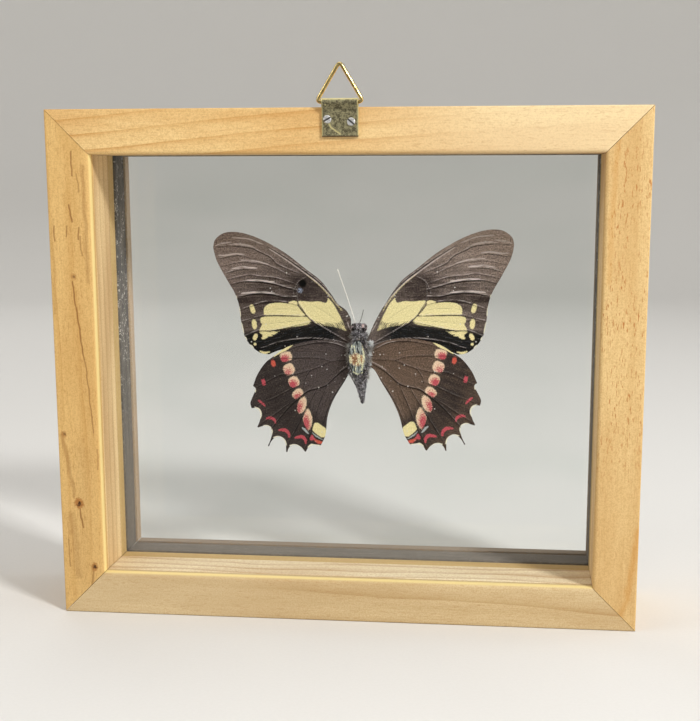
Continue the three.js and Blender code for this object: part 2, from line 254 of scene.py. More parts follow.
def bezier(start: Point, leave: Point, arrive: Point, end: Point, steps: int) -> np.ndarray:
    """A cubic arc from start to end, ends included.

    Args:
        start: Where the arc starts.
        leave: The handle it leaves towards.
        arrive: The handle it arrives from.
        end: Where it ends.
        steps: How many steps it has.

    Returns:
        The places on the arc.
    """
    t = np.linspace(0, 1, steps + 1)[:, None]
    a, b, c, d = (np.array(p, float) for p in (start, leave, arrive, end))
    return a * (1 - t) ** 3 + 3 * b * t * (1 - t) ** 2 + 3 * c * t**2 * (1 - t) + d * t**3


# --- Distances in a wing's plane ---


def distance_to_path(at: np.ndarray, path: np.ndarray) -> tuple[np.ndarray, np.ndarray]:
    """How far points lie from an open path, and how far along it the nearest place is, from 0 to 1.

    Args:
        at: The points, N by 2.
        path: The path's places in order.

    Returns:
        The distances and the shares.
    """
    nearest = np.full(len(at), np.inf)
    along = np.zeros(len(at))
    lengths = np.linalg.norm(np.diff(path, axis=0), axis=1)
    reached = np.concatenate([[0.0], np.cumsum(lengths)])
    for i, length in enumerate(lengths):
        if length == 0:
            continue
        step = path[i + 1] - path[i]
        share = np.clip(((at - path[i]) @ step) / length**2, 0, 1)
        apart = np.linalg.norm(at - path[i] - share[:, None] * step, axis=1)
        closer = apart < nearest
        nearest[closer] = apart[closer]
        along[closer] = (reached[i] + share[closer] * length) / reached[-1]
    return nearest, along


def inside(at: np.ndarray, outline: np.ndarray) -> np.ndarray:
    """Whether each point lies inside a closed outline.

    Args:
        at: The points, N by 2.
        outline: The outline's places in order.

    Returns:
        True for each point inside.
    """
    crossings = np.zeros(len(at), int)
    for a, b in zip(outline, np.roll(outline, -1, axis=0)):
        spans = (a[1] > at[:, 1]) != (b[1] > at[:, 1])
        height = np.where(b[1] == a[1], 1e-9, b[1] - a[1])
        reach = a[0] + (at[:, 1] - a[1]) * (b[0] - a[0]) / height
        crossings += spans & (at[:, 0] < reach)
    return crossings % 2 == 1


def smoothstep(low: float, high: float, value: np.ndarray) -> np.ndarray:
    """Rises smoothly from 0 at low to 1 at high."""
    t = np.clip((value - low) / (high - low), 0, 1)
    return t * t * (3 - 2 * t)


@dataclass(frozen=True)
class Patch:
    """A closed patch of colour with a drawn outline."""

    outline: tuple[Point, ...]

    def reach(self, at: np.ndarray) -> np.ndarray:
        """Signed distance to its edge in mm, negative inside.

        Args:
            at: The points, N by 2.

        Returns:
            The distances.
        """
        edge = smooth_path([*self.outline, self.outline[0]], 5)
        apart, _ = distance_to_path(at, edge)
        return np.where(inside(at, edge[:-1]), -apart, apart)


@dataclass(frozen=True)
class Spot:
    """A rounded spot: its centre, width, height, turn in degrees and how square it is."""

    centre: Point
    width: float
    height: float
    turn: float = 0.0
    square: float = 2.4
    blush: float = 0.0

    def local(self, at: np.ndarray) -> np.ndarray:
        """Points as shares of the spot's half sizes.

        Args:
            at: The points, N by 2.

        Returns:
            The shares, N by 2.
        """
        c, s = math.cos(math.radians(self.turn)), math.sin(math.radians(self.turn))
        away = at - np.array(self.centre)
        turned = np.stack([away[:, 0] * c + away[:, 1] * s, away[:, 1] * c - away[:, 0] * s], 1)
        return turned / (np.array([self.width, self.height]) / 2)

    def reach(self, at: np.ndarray) -> np.ndarray:
        """Signed distance to its edge in mm, negative inside."""
        power = np.sum(np.abs(self.local(at)) ** self.square, axis=1) ** (1 / self.square)
        return (power - 1) * min(self.width, self.height) / 2


@dataclass(frozen=True)
class Stroke:
    """A line of a width that tapers towards its ends, or a crescent where it bends."""

    points: tuple[Point, ...]
    width: float
    taper: float = 0.5

    def reach(self, at: np.ndarray) -> np.ndarray:
        """Signed distance to its edge in mm, negative inside."""
        apart, along = distance_to_path(at, smooth_path(list(self.points), 5))
        return apart - self.width / 2 * (1 - self.taper * np.abs(2 * along - 1) ** 2)


Mark = Patch | Spot | Stroke
FAR = 50.0


def nearest_mark(marks: tuple[Mark, ...], at: np.ndarray) -> np.ndarray:
    """Signed distance to the nearest of several marks."""
    return np.min([np.full(len(at), FAR), *(mark.reach(at) for mark in marks)], axis=0)


# --- Material graphs ---


class Graph:
    """A material's node tree, with short calls for the nodes that the finishes share."""

    def __init__(self, name: str) -> None:
        """Starts an empty material of that name.

        Args:
            name: The material's name.
        """
        self.material = bpy.data.materials.new(name)
        self.material.use_nodes = True
        self.tree = self.material.node_tree
        self.tree.nodes.clear()

    def node(
        self, kind: str, sockets: dict[int | str, object] | None = None, **settings: object,
    ) -> bpy.types.Node:
        """Adds a shader node with its settings, and feeds its sockets.

        Args:
            kind: The node's type, less ShaderNode.
            sockets: What goes into its inputs, by place or name.
            **settings: Its properties.

        Returns:
            The node.
        """
        made = self.tree.nodes.new("ShaderNode" + kind)
        for key, value in settings.items():
            setattr(made, key, value)
        for key, value in (sockets or {}).items():
            self.feed(made.inputs[key], value)
        return made

    def feed(self, socket: Socket, value: object) -> None:
        """Links a socket to another one, or sets its value.

        Args:
            socket: The input.
            value: An output to link, or a value to set.
        """
        if isinstance(value, Socket):
            self.tree.links.new(value, socket)
        elif socket.type == "RGBA" and len(value) == 3:
            socket.default_value = (*value, 1.0)
        else:
            socket.default_value = value

    def math(self, operation: str, a: object, b: object = 0.0, clamp: bool = False) -> Socket:
        """Adds arithmetic on two numbers."""
        return self.node("Math", {0: a, 1: b}, operation=operation, use_clamp=clamp).outputs[0]

    def times(self, a: object, b: object) -> Socket:
        """Multiplies two numbers."""
        return self.math("MULTIPLY", a, b)

    def plus(self, a: object, b: object, clamp: bool = False) -> Socket:
        """Adds two numbers."""
        return self.math("ADD", a, b, clamp)

    def minus(self, a: object, b: object) -> Socket:
        """Takes the second number from the first."""
        return self.math("SUBTRACT", a, b)

    def larger(self, a: object, b: object) -> Socket:
        """Picks the larger of two numbers."""
        return self.math("MAXIMUM", a, b)

    def vector(self, operation: str, a: object, b: object = (0.0, 0.0, 0.0)) -> Socket:
        """Adds arithmetic on two vectors. Length and dot product give a number."""
        made = self.node("VectorMath", {0: a, 1: b}, operation=operation)
        return made.outputs["Value" if operation in ("LENGTH", "DOT_PRODUCT") else "Vector"]

    def blend(self, share: object, a: object, b: object, how: str = "MIX") -> Socket:
        """Mixes two colours by a share."""
        return self.node("Mix", {0: share, 6: a, 7: b}, data_type="RGBA", blend_type=how).outputs[2]

    def step(
        self, value: object, low: float, high: float, to_low: float = 0.0, to_high: float = 1.0,
    ) -> Socket:
        """Maps a value smoothly from between low and high to between two others."""
        sockets = dict(enumerate((value, low, high, to_low, to_high)))
        return self.node("MapRange", sockets, interpolation_type="SMOOTHSTEP").outputs[0]

    def noise(self, at: object, scale: float, detail: float = 2.0, roughness: float = 0.5) -> Socket:
        """Adds soft noise around 0.5."""
        sockets = {"Vector": at, "Scale": scale, "Detail": detail, "Roughness": roughness}
        return self.node("TexNoise", sockets).outputs[0]

    def stretched(self, at: object, by: tuple[float, float, float], *settings: float) -> Socket:
        """Adds noise that is drawn out along the axes with small factors."""
        return self.noise(self.vector("MULTIPLY", at, by), 1.0, *settings)

    def cells(self, at: object, scale: float) -> Socket:
        """Adds the distance to the nearest of scattered points."""
        return self.node("TexVoronoi", {"Vector": at, "Scale": scale}).outputs["Distance"]

    def place(self) -> Socket:
        """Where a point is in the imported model's frame, in mm."""
        return self.vector("MULTIPLY", self.node("TexCoord").outputs["Object"], (1 / MM,) * 3)

    def parts(self, vector: object) -> dict[str, Socket]:
        """Splits a vector into its X, Y and Z."""
        outputs = self.node("SeparateXYZ", {0: vector}).outputs
        return {axis: outputs[axis] for axis in "XYZ"}

    def together(self, x: object, y: object, z: object = 0.0) -> Socket:
        """Makes a vector of three numbers."""
        return self.node("CombineXYZ", {0: x, 1: y, 2: z}).outputs[0]

    def apart(self, face: object, start: Point, end: Point) -> Socket:
        """Measures how far a flat place lies from the straight line between two points.

        Args:
            face: The flat place.
            start: The line's start.
            end: Its end.

        Returns:
            The distance.
        """
        run = np.subtract(end, start)
        away = self.vector("SUBTRACT", face, (*start, 0.0))
        share = self.math("DIVIDE", self.vector("DOT_PRODUCT", away, (*run, 0.0)), float(run @ run), True)
        on_line = self.together(*(self.times(share, float(part)) for part in run))
        return self.vector("LENGTH", self.vector("SUBTRACT", away, on_line))

    def stored(self, name: str, what: str = "Fac") -> Socket:
        """Reads a value that the mesh stores at its points."""
        return self.node("Attribute", attribute_name=name).outputs[what]

    def bump(self, height: object, distance_mm: float, strength: float = 1.0) -> Socket:
        """Turns a height from 0 to 1 into a normal."""
        sockets = {"Height": height, "Distance": distance_mm * MM, "Strength": strength}
        return self.node("Bump", sockets).outputs[0]

    def finish(self, **sockets: object) -> Material:
        """Ends in a Principled shader whose sockets are named with _ for spaces."""
        named = {key.replace("_", " "): value for key, value in sockets.items()}
        return self.end(self.node("BsdfPrincipled", named))

    def end(self, shader: bpy.types.Node) -> Material:
        """Shows a shader on the surface."""
        self.feed(self.node("OutputMaterial").inputs["Surface"], shader.outputs[0])
        return self.material


# --- Finishes ---


@dataclass(frozen=True)
class Knot:
    """A knot in a strip's face: where it is along and across the strip, its radius and how dark it is."""

    along: float
    across: float
    radius: float
    dark: float = 1.0


@dataclass(frozen=True)
class Streak:
    """A resin streak from one place to another, each along and across the strip."""

    start: Point
    end: Point
    width: float
    dark: float = 1.0


@dataclass(frozen=True)
class WoodFinish:
    """Bare pine or a paler strip, cut from a log whose growth rings run through it.

    The rings are centred on a pith line that lies beside the strip and drifts slowly across it.
    """

    name: str
    grain: Grain
    pale: Colour
    dark: Colour
    pith_across: float = -140.0
    pith_depth: float = 30.0
    line_at: float = 0.0
    drift: float = 0.0
    wave: float = 0.35
    fade: Point | None = None
    fade_share: float = 0.4
    ring: float = 5.8
    ring_dark: float = 0.5
    flecks: float = 0.5
    fleck_tint: Colour = srgb("a8682c")
    fleck_rise: Point = (-300.0, -299.0)
    streak_tint: Colour = srgb("93602b")
    fibre: float = 0.28
    seed: float = 0.0
    lip_highlight_at: float | None = None
    knots: tuple[Knot, ...] = ()
    streaks: tuple[Streak, ...] = ()

    def material(self) -> Material:
        """Builds the wood.

        Returns:
            The material.
        """
        g = Graph(self.name)
        parts = g.parts(g.place())
        along, across, depth = (parts[axis] for axis in self.grain.value)
        seeded = g.vector(
            "ADD", g.together(along, across, depth), (self.seed, self.seed * 2.3, self.seed * 0.7))
        face = g.together(along, across)
        rings, core, halo = self._rings(g, along, across, depth, face, seeded)
        late = g.math("POWER", g.math("FRACT", rings), 5.0)
        uneven = g.stretched(seeded, (0.02, 0.12, 0.12), 3.0)
        late = g.times(late, g.step(uneven, 0.25, 0.7, 0.45, 1.0))
        if self.fade:
            late = g.times(late, g.step(along, *self.fade, 1.0, 0.25))
        fibre = g.stretched(seeded, (0.12, 3.4, 3.4), 3.0, 0.6)
        broad = g.stretched(seeded, (0.012, 0.09, 0.09), 2.0)
        sand = g.noise(seeded, 1.9, 2.0, 0.7)
        fleck = g.times(self._flecks(g, seeded), g.step(along, *self.fleck_rise, 0.2, 1.0))
        streak = g.times(self._streaks(g, face, seeded), g.step(depth, BACK + 6.0, BACK + 1.5))
        tint = g.blend(g.step(broad, 0.3, 0.75, 0.0, 0.45), self.pale, self.dark)
        tint = g.blend(g.times(late, self.ring_dark), tint, self.dark)
        tint = g.blend(g.step(fibre, 0.35, 0.75, 0.0, self.fibre), tint, self.dark)
        tint = g.blend(g.step(sand, 0.34, 0.6, 0.34, 0.0), tint, srgb("b5843f"))
        if self.fade:
            tint = g.blend(g.step(along, *self.fade, 0.0, self.fade_share), tint, srgb("f8eac6"))
        tint = g.blend(g.times(fleck, 0.8), tint, self.fleck_tint)
        tint = g.blend(streak, tint, self.streak_tint)
        tint = g.blend(halo, tint, srgb("a9682a"))
        tint = g.blend(core, tint, srgb("3c2110"))
        # Painted highlight: the inner lip and its rounded arris are painted pale cream on the rails that
        # face the light
        if self.lip_highlight_at is not None:
            lip_highlight = g.step(depth, BACK + 0.2, BACK + 1.2)
            lip_highlight = g.times(lip_highlight, g.step(depth, BACK + 3.8, BACK + 2.6))
            inward = g.math("ABSOLUTE", g.minus(across, self.lip_highlight_at))
            lip_highlight = g.times(lip_highlight, g.step(inward, 3.0, 2.0, 0.0, 0.85))
            tint = g.blend(lip_highlight, tint, srgb("ffe9a0"))
        height = g.plus(g.times(fibre, 0.5), g.times(sand, 0.5))
        height = g.minus(height, g.times(g.larger(fleck, streak), 0.8))
        rough = g.step(g.plus(fibre, g.times(core, 0.4)), 0.2, 0.9, 0.68, 0.5)
        return g.finish(
            Base_Color=tint, Roughness=rough, Normal=g.bump(height, 0.05, 0.9), Specular_IOR_Level=0.32)

    def _rings(
        self, g: Graph, along: object, across: object, depth: object, face: object, seeded: object,
    ) -> tuple:
        """Counts rings out from the pith, bent round the knots.

        Args:
            g: The graph.
            along: Place along the grain.
            across: Place across the face.
            depth: Place into the strip.
            face: The first two as a vector.
            seeded: The place with this strip's own offset.

        Returns:
            The ring count, the knots' cores and the halos round them.
        """
        drifted = g.minus(across, g.times(along, self.drift))
        radius = g.vector("LENGTH", g.together(
            g.minus(drifted, self.pith_across), g.minus(depth, self.pith_depth)))
        wave = g.stretched(seeded, (0.011, 0.03, 0.03), 2.0)
        radius = g.plus(radius, g.times(g.minus(wave, 0.5), 2 * self.wave * self.ring))
        core: object = 0.0
        halo: object = 0.0
        torn = g.noise(seeded, 1.1, 4.0, 0.75)
        for knot in self.knots:
            away = g.vector("SUBTRACT", face, (knot.along, knot.across, 0.0))
            apart = g.vector(
                "LENGTH", g.vector("MULTIPLY", away, (0.85 / knot.radius, 1 / knot.radius, 0.0)))
            ragged = g.plus(apart, g.times(g.minus(torn, 0.5), 2.6))
            long_way = g.vector(
                "LENGTH", g.vector("MULTIPLY", away, (0.22 / knot.radius, 0.6 / knot.radius, 0.0)))
            radius = g.plus(radius, g.step(long_way, 1.6, 0.0, 0.0, knot.radius * 1.6))
            core = g.larger(core, g.step(ragged, 0.75, 0.35, 0.0, knot.dark))
            halo = g.larger(halo, g.step(ragged, 1.6, 0.8, 0.0, 0.8 * knot.dark))
        first = math.hypot(self.line_at - self.pith_across, BACK - self.pith_depth)
        return g.math("DIVIDE", g.minus(radius, first), self.ring), core, halo

    def _flecks(self, g: Graph, seeded: object) -> Socket:
        """Short dark resin canals along the grain.

        Args:
            g: The graph.
            seeded: The place with this strip's own offset.

        Returns:
            How dark they are.
        """
        dashes = g.stretched(seeded, (0.42, 2.3, 2.3), 1.0)
        thin_out = g.stretched(seeded, (0.05, 0.2, 0.2), 1.0)
        return g.times(g.step(dashes, 0.6, 0.68), g.step(thin_out, 0.38, 0.6, 0.25, self.flecks))

    def _streaks(self, g: Graph, face: object, seeded: object) -> object:
        """The strip's own resin streaks, broken up along their length.

        Args:
            g: The graph.
            face: The place along and across the strip.
            seeded: The place with this strip's own offset.

        Returns:
            How dark they are.
        """
        found: object = 0.0
        broken = g.stretched(seeded, (0.3, 1.5, 1.5), 2.0)
        sway = g.minus(g.stretched(seeded, (0.13, 0.05, 0.05), 2.0), 0.5)
        swayed = g.vector("ADD", face, g.together(0.0, g.times(sway, 2.2)))
        for streak in self.streaks:
            apart = g.apart(swayed, streak.start, streak.end)
            apart = g.plus(apart, g.times(broken, 0.8 * streak.width))
            line = g.step(apart, 1.25 * streak.width, 0.45 * streak.width, 0.0, streak.dark)
            found = g.larger(found, line)
        return found


@dataclass(frozen=True)
class SpacerFinish:
    """Dark grey strips between the panes, scratched and dusty."""

    name: str = "dark_spacer"
    dark: Colour = srgb("545456")
    worn: Colour = srgb("86807a")

    def material(self) -> Material:
        """Builds the dark strip.

        Returns:
            The material.
        """
        g = Graph(self.name)
        at = g.place()
        cloud = g.stretched(at, (0.05, 0.6, 0.05), 3.0)
        scratch = g.stretched(at, (0.35, 6.0, 0.35), 3.0, 0.7)
        specks = g.step(g.cells(at, 0.42), 0.24, 0.13)
        specks = g.times(specks, g.step(g.noise(at, 0.11, 1.0), 0.42, 0.54))
        tint = g.blend(g.step(cloud, 0.3, 0.7, 0.0, 0.7), self.dark, self.worn)
        tint = g.blend(g.step(scratch, 0.5, 0.74, 0.0, 0.7), tint, srgb("b0a697"))
        curl = g.math("ABSOLUTE", g.minus(g.noise(at, 0.32, 3.0, 0.6), 0.5))
        nicks = g.times(g.step(curl, 0.018, 0.005), g.step(g.noise(at, 0.21, 2.0), 0.47, 0.54))
        height_z = g.parts(at)["Z"]
        specks = g.times(g.larger(specks, nicks), g.step(height_z, 60.0, 100.0, 0.12, 1.0))
        # Painted light: the spacer is painted paler towards the bottom, where it is lit, and darker higher
        # up, where it is shaded
        tint = g.blend(g.step(height_z, 110.0, 20.0, 0.0, 0.6), tint, srgb("8a8176"))
        tint = g.blend(g.times(specks, 0.85), tint, srgb("e9e4da"))
        height = g.plus(scratch, g.times(specks, 0.6))
        return g.finish(
            Base_Color=tint, Roughness=g.step(scratch, 0.3, 0.8, 0.75, 0.5), Normal=g.bump(height, 0.04))


@dataclass(frozen=True)
class GlassFinish:
    """Clear float glass with a trace of green: light passes straight on, and more mirrors off at a slant."""

    name: str = "float_glass"
    tint: Colour = (0.99, 0.996, 0.993)
    dulled: Colour = (0.975, 0.985, 0.98)
    head_on: float = 0.025

    def material(self) -> Material:
        """Builds the glass, faintly uneven where it has been wiped.

        Returns:
            The material.
        """
        g = Graph(self.name)
        at = g.place()
        wiped = g.stretched(at, (0.02, 0.02, 0.05), 3.0)
        through = g.node("BsdfTransparent")
        g.feed(through.inputs["Color"], g.blend(g.step(wiped, 0.35, 0.7), self.tint, self.dulled))
        mirror = g.node("BsdfGlossy")
        g.feed(mirror.inputs["Roughness"], g.step(wiped, 0.4, 0.8, 0.0, 0.04))
        slant = g.math("POWER", g.node("LayerWeight").outputs["Facing"], 5.0)
        share = g.node("MixShader")
        g.feed(share.inputs[0], g.step(slant, 0.0, 1.0, self.head_on, 1.0))
        g.feed(share.inputs[1], through.outputs[0])
        g.feed(share.inputs[2], mirror.outputs[0])
        return g.end(share)


@dataclass(frozen=True)
class PlateFinish:
    """Tarnished yellow plating on sheet steel, mottled, with a painted highlight along its edges and over
    the top of its fold.
    """

    name: str = "tarnished_plate"
    scratch: tuple[Point, ...] = ((-4.2, 172.4), (-3.6, 170.8), (-2.2, 169.6), (-0.3, 168.3))
    chip: Point = (-5.0, 177.6)
    foot: float = 167.4

    def material(self) -> Material:
        """Builds the mottled plate.

        Returns:
            The material.
        """
        g = Graph(self.name)
        at = g.place()
        parts = g.parts(at)
        mottle = g.noise(at, 0.8, 4.0, 0.7)
        fine = g.noise(at, 2.3, 4.0, 0.8)
        tint = g.blend(g.step(mottle, 0.4, 0.6), srgb("6b644c"), srgb("b3ab84"))
        tint = g.blend(g.step(fine, 0.54, 0.66, 0.0, 0.75), tint, srgb("dcd3a6"))
        tint = g.blend(g.step(fine, 0.46, 0.36, 0.0, 0.7), tint, srgb("35301f"))
        face = g.together(parts["X"], parts["Z"])
        scratch: object = 0.0
        for start, end in zip(self.scratch, self.scratch[1:]):
            apart = g.plus(g.apart(face, start, end), g.times(g.minus(fine, 0.5), 1.6))
            scratch = g.larger(scratch, g.step(apart, 0.36, 0.15))
        chip = g.vector("LENGTH", g.vector("SUBTRACT", face, (*self.chip, 0.0)))
        scratch = g.larger(scratch, g.step(chip, 0.4, 0.15))
        # Painted highlight on the edges and the fold's top, joined with the real scratch and chip, all in
        # pale yellow
        rubbed = g.larger(g.stored("rubbed"), g.times(scratch, 0.9))
        tint = g.blend(rubbed, tint, srgb("ece0a2"))
        foot = g.step(parts["Z"], self.foot + 0.5, self.foot + 0.15, 0.0, 0.85)
        tint = g.blend(foot, tint, srgb("4a3420"))
        rough = g.step(fine, 0.2, 0.8, 0.52, 0.36)
        height = g.minus(g.times(fine, 0.5), g.times(scratch, 0.6))
        return g.finish(Base_Color=tint, Metallic=0.45, Roughness=rough, Normal=g.bump(height, 0.03))


@dataclass(frozen=True)
class MetalFinish:
    """A bright plated metal with fine drawn or turned marks and a little staining."""

    name: str
    bright: Colour
    stained: Colour
    roughness: float = 0.16
    metallic: float = 1.0
    slot: tuple[Point, Point] | None = None

    def material(self) -> Material:
        """Builds the metal. Painted shade darkens the slot, if there is one.

        Returns:
            The material.
        """
        g = Graph(self.name)
        at = g.place()
        stain = g.noise(at, 0.9, 3.0, 0.6)
        drawn = g.stretched(at, (5.0, 5.0, 1.2), 3.0, 0.6)
        tint = g.blend(g.step(stain, 0.4, 0.75, 0.0, 0.7), self.bright, self.stained)
        rough = g.step(g.plus(drawn, g.times(stain, 0.5)), 0.4, 1.1, self.roughness, 2.2 * self.roughness)
        if self.slot:
            parts = g.parts(at)
            # Painted shade: the screw's slot is painted dark as if in shadow
            slot_shade = g.step(g.apart(g.together(parts["X"], parts["Z"]), *self.slot), 0.3, 0.2, 0.0, 0.92)
            tint = g.blend(slot_shade, tint, srgb("2b2722"))
        return g.finish(
            Base_Color=tint, Metallic=self.metallic, Roughness=rough, Normal=g.bump(drawn, 0.008))


@dataclass(frozen=True)
class WingFinish:
    """Fine matte scales. The wing's mesh stores how far each point is from every kind of mark."""

    name: str
    dark: Colour
    pale: Colour
    black: Colour = srgb("181615")
    cream: Colour = srgb("fcefb6")
    spot: Colour = srgb("f6dcbc")
    pink: Colour = srgb("c9505f")
    red: Colour = srgb("c04c58")
    orange: Colour = srgb("d05a3e")
    rim: Colour = srgb("f6f0d8")
    flank_highlight: float = 0.6

    def material(self) -> Material:
        """Builds the wing's scales and markings.

        Returns:
            The material.
        """
        g = Graph(self.name)
        flat = g.stored("flat_mm", "Vector")
        ray = g.stored("ray_mm", "Vector")
        grain = g.noise(flat, 2.1, 3.0, 0.8)
        streaks = g.stretched(ray, (0.1, 0.95, 1.0), 4.0, 0.65)
        threads = g.stretched(ray, (0.25, 3.1, 1.0), 2.0, 0.6)
        wobble = g.minus(g.noise(flat, 2.2, 3.0, 0.65), 0.5)
        dorsal = g.stored("dorsal")
        tint = self._membrane(g, flat, grain, streaks, threads, dorsal)
        tint = self._markings(g, tint, wobble, grain, dorsal)
        tint, vein = self._veins(g, tint, threads)
        tint = self._wear(g, tint, flat, grain)
        height = g.plus(g.times(g.step(vein, 0.34, 0.0), 0.6), g.times(grain, 0.3))
        height = g.plus(height, g.times(threads, 0.35))
        rough = g.step(streaks, 0.3, 0.8, 0.78, 0.6)
        return g.finish(
            Base_Color=tint, Roughness=rough, Specular_IOR_Level=0.2, Normal=g.bump(height, 0.16, 0.9))

    def _membrane(
        self, g: Graph, flat: object, grain: object, streaks: object, threads: object, dorsal: object,
    ) -> object:
        """The ground colour, from near black to the pale worn tip, with a grain of single scales.

        Args:
            g: The graph.
            flat: The place in the wing's plane.
            grain: Noise at the size of scales.
            streaks: Noise along the rays.
            threads: Finer noise along them.
            dorsal: 1 on the upper side of the wing.

        Returns:
            The colour.
        """
        cloud = g.noise(flat, 0.3, 3.0, 0.6)
        tone = g.plus(g.stored("tone"), g.times(g.minus(streaks, 0.5), 1.1))
        tone = g.plus(tone, g.times(g.minus(cloud, 0.5), 0.5), True)
        tint = g.blend(tone, self.dark, self.pale)
        ink = g.blend(g.step(threads, 0.52, 0.72, 0.0, 0.45), self.black, srgb("505760"))
        tint = g.blend(g.stored("black"), tint, ink)
        tint = g.blend(1.0, tint, g.step(grain, 0.34, 0.68, 0.45, 1.75), "MULTIPLY")
        glitter = g.times(g.step(g.cells(flat, 1.25), 0.2, 0.1), g.step(grain, 0.45, 0.6, 0.0, 0.55))
        tint = g.blend(glitter, tint, srgb("a39078"))
        return g.blend(g.times(dorsal, 0.72), tint, srgb("120e0b"))

    def _markings(self, g: Graph, tint: object, wobble: object, grain: object, dorsal: object) -> object:
        """Lays the cream, pink, red and pale edge marks over the ground colour.

        Args:
            g: The graph.
            tint: The ground colour.
            wobble: Fine noise around 0 that makes edges uneven.
            grain: Noise at the size of scales.
            dorsal: 1 on the upper side of the wing.

        Returns:
            The colour with its marks.
        """
        brush = g.stretched(g.stored("hair_mm", "Vector"), (0.3, 3.6, 1.0), 2.0, 0.6)
        frayed = g.times(g.times(g.step(brush, 0.42, 0.66), g.stored("fray")), 2.6)
        edge = g.plus(g.stored("cream"), g.plus(g.times(wobble, 0.7), frayed))
        cream = g.blend(g.step(grain, 0.34, 0.66, 0.45, 0.0), self.cream, srgb("a8985f"))
        tint = g.blend(g.step(edge, 0.14, -0.14), tint, cream)
        edge = g.plus(g.stored("spots"), g.times(wobble, 1.1))
        blush = g.plus(g.stored("blush"), g.times(wobble, 2.6), True)
        blush = g.times(blush, g.minus(1.0, g.times(dorsal, 0.8)))
        rosy = g.blend(g.step(blush, 0.2, 0.8), self.spot, self.pink)
        rosy = g.blend(g.step(grain, 0.36, 0.6, 0.4, 0.0), rosy, srgb("8d5248"))
        tint = g.blend(g.step(edge, 0.18, -0.2), tint, rosy)
        edge = g.plus(g.stored("red"), g.times(wobble, 1.3))
        warm = g.blend(g.stored("orange"), self.red, self.orange)
        warm = g.blend(g.step(grain, 0.4, 0.72, 0.0, 0.3), warm, srgb("dd8f92"))
        warm = g.blend(g.step(grain, 0.42, 0.3, 0.0, 0.7), warm, srgb("5a2326"))
        tint = g.blend(g.step(edge, 0.16, -0.12), tint, warm)
        edge = g.plus(g.stored("rim"), g.times(wobble, 0.35))
        tint = g.blend(g.step(edge, 0.12, -0.1, 0.0, 0.95), tint, self.rim)
        edge = g.plus(g.stored("ash"), g.times(wobble, 0.6))
        return g.blend(g.step(edge, 0.12, -0.12, 0.0, 0.85), tint, srgb("b9bfc0"))

    def _veins(self, g: Graph, tint: object, threads: object) -> tuple[object, object]:
        """Dark veins over everything, with a painted highlight on each vein's upper flank and along the
        gleam strokes, and painted shade in the folds.

        Args:
            g: The graph.
            tint: The colour so far.
            threads: Fine noise along the rays.

        Returns:
            The colour, and the distance from a vein.
        """
        # Painted highlight: pale streaks on the upper flank of each vein and along the gleam strokes, where
        # light catches the pleats
        flank_highlight = g.times(g.step(g.stored("flank"), 0.34, 0.0), g.step(threads, 0.42, 0.6, 0.0, self.flank_highlight))
        gleam = g.times(g.step(g.stored("gleam"), 0.26, -0.05), g.step(threads, 0.38, 0.54, 0.25, 1.0))
        tint = g.blend(g.larger(flank_highlight, gleam), tint, srgb("dccfcb"))
        vein = g.stored("vein")
        tint = g.blend(g.step(vein, 0.28, 0.06, 0.0, 0.95), tint, g.blend(0.9, tint, srgb("0c0907")))
        # Painted shade: the creases along the folds are painted darker
        fold = g.step(g.stored("fold"), 0.2, 0.04, 0.0, 0.5)
        return g.blend(fold, tint, g.blend(0.7, tint, srgb("2a2118"))), vein

    def _wear(self, g: Graph, tint: object, flat: object, grain: object) -> object:
        """Dust specks, grey smears and the wing's own damage.

        Args:
            g: The graph.
            tint: The colour so far.
            flat: The place in the wing's plane.
            grain: Noise at the size of scales.

        Returns:
            The colour.
        """
        dust = g.step(g.cells(flat, 0.4), 0.13, 0.06)
        dust = g.times(dust, g.step(g.noise(flat, 0.2, 1.0), 0.46, 0.54))
        tint = g.blend(g.times(dust, 0.85), tint, srgb("e6e2dc"))
        tint = g.blend(g.stored("hole"), tint, srgb("060606"))
        return g.blend(g.times(g.stored("smear"), g.step(grain, 0.42, 0.55)), tint, srgb("98a2b8"))


@dataclass(frozen=True)
class BodyFinish:
    """Dry dark cuticle under grey scales, mottled cream and orange on the belly."""

    name: str = "cuticle"
    dark: Colour = srgb("242120")
    grey: Colour = srgb("837c84")

    def material(self) -> Material:
        """Builds the body's skin.

        Returns:
            The material.
        """
        g = Graph(self.name)
        at = g.place()
        patch = g.noise(at, 0.75, 3.0, 0.65)
        fine = g.noise(at, 2.1, 3.0, 0.8)
        tint = g.blend(g.step(patch, 0.42, 0.66), self.dark, self.grey)
        # Painted highlight: fine pale specks stand for sparkling glints on the dark scales
        tint = g.blend(g.step(fine, 0.54, 0.6, 0.0, 0.9), tint, srgb("dcd4da"))
        tint = g.blend(g.step(fine, 0.46, 0.34, 0.0, 0.85), tint, srgb("141211"))
        warm = g.blend(g.step(g.noise(at, 1.3, 2.0), 0.45, 0.6), srgb("e0d2a0"), srgb("c98d5c"))
        tint = g.blend(g.times(g.stored("belly"), g.step(fine, 0.35, 0.6)), tint, warm)
        height = g.plus(fine, g.times(patch, 0.6))
        return g.finish(Base_Color=tint, Roughness=0.72, Specular_IOR_Level=0.3, Normal=g.bump(height, 0.12))


@dataclass(frozen=True)
class HairFinish:
    """Dry hairs, each of its own shade between two colours."""

    name: str
    dark: Colour
    pale: Colour

    def material(self) -> Material:
        """Builds the hair.

        Returns:
            The material.
        """
        g = Graph(self.name)
        shade = g.plus(g.stored("shade"), g.times(g.noise(g.place(), 2.0, 1.0), 0.2), True)
        return g.finish(
            Base_Color=g.blend(shade, self.dark, self.pale), Roughness=0.6, Specular_IOR_Level=0.35)


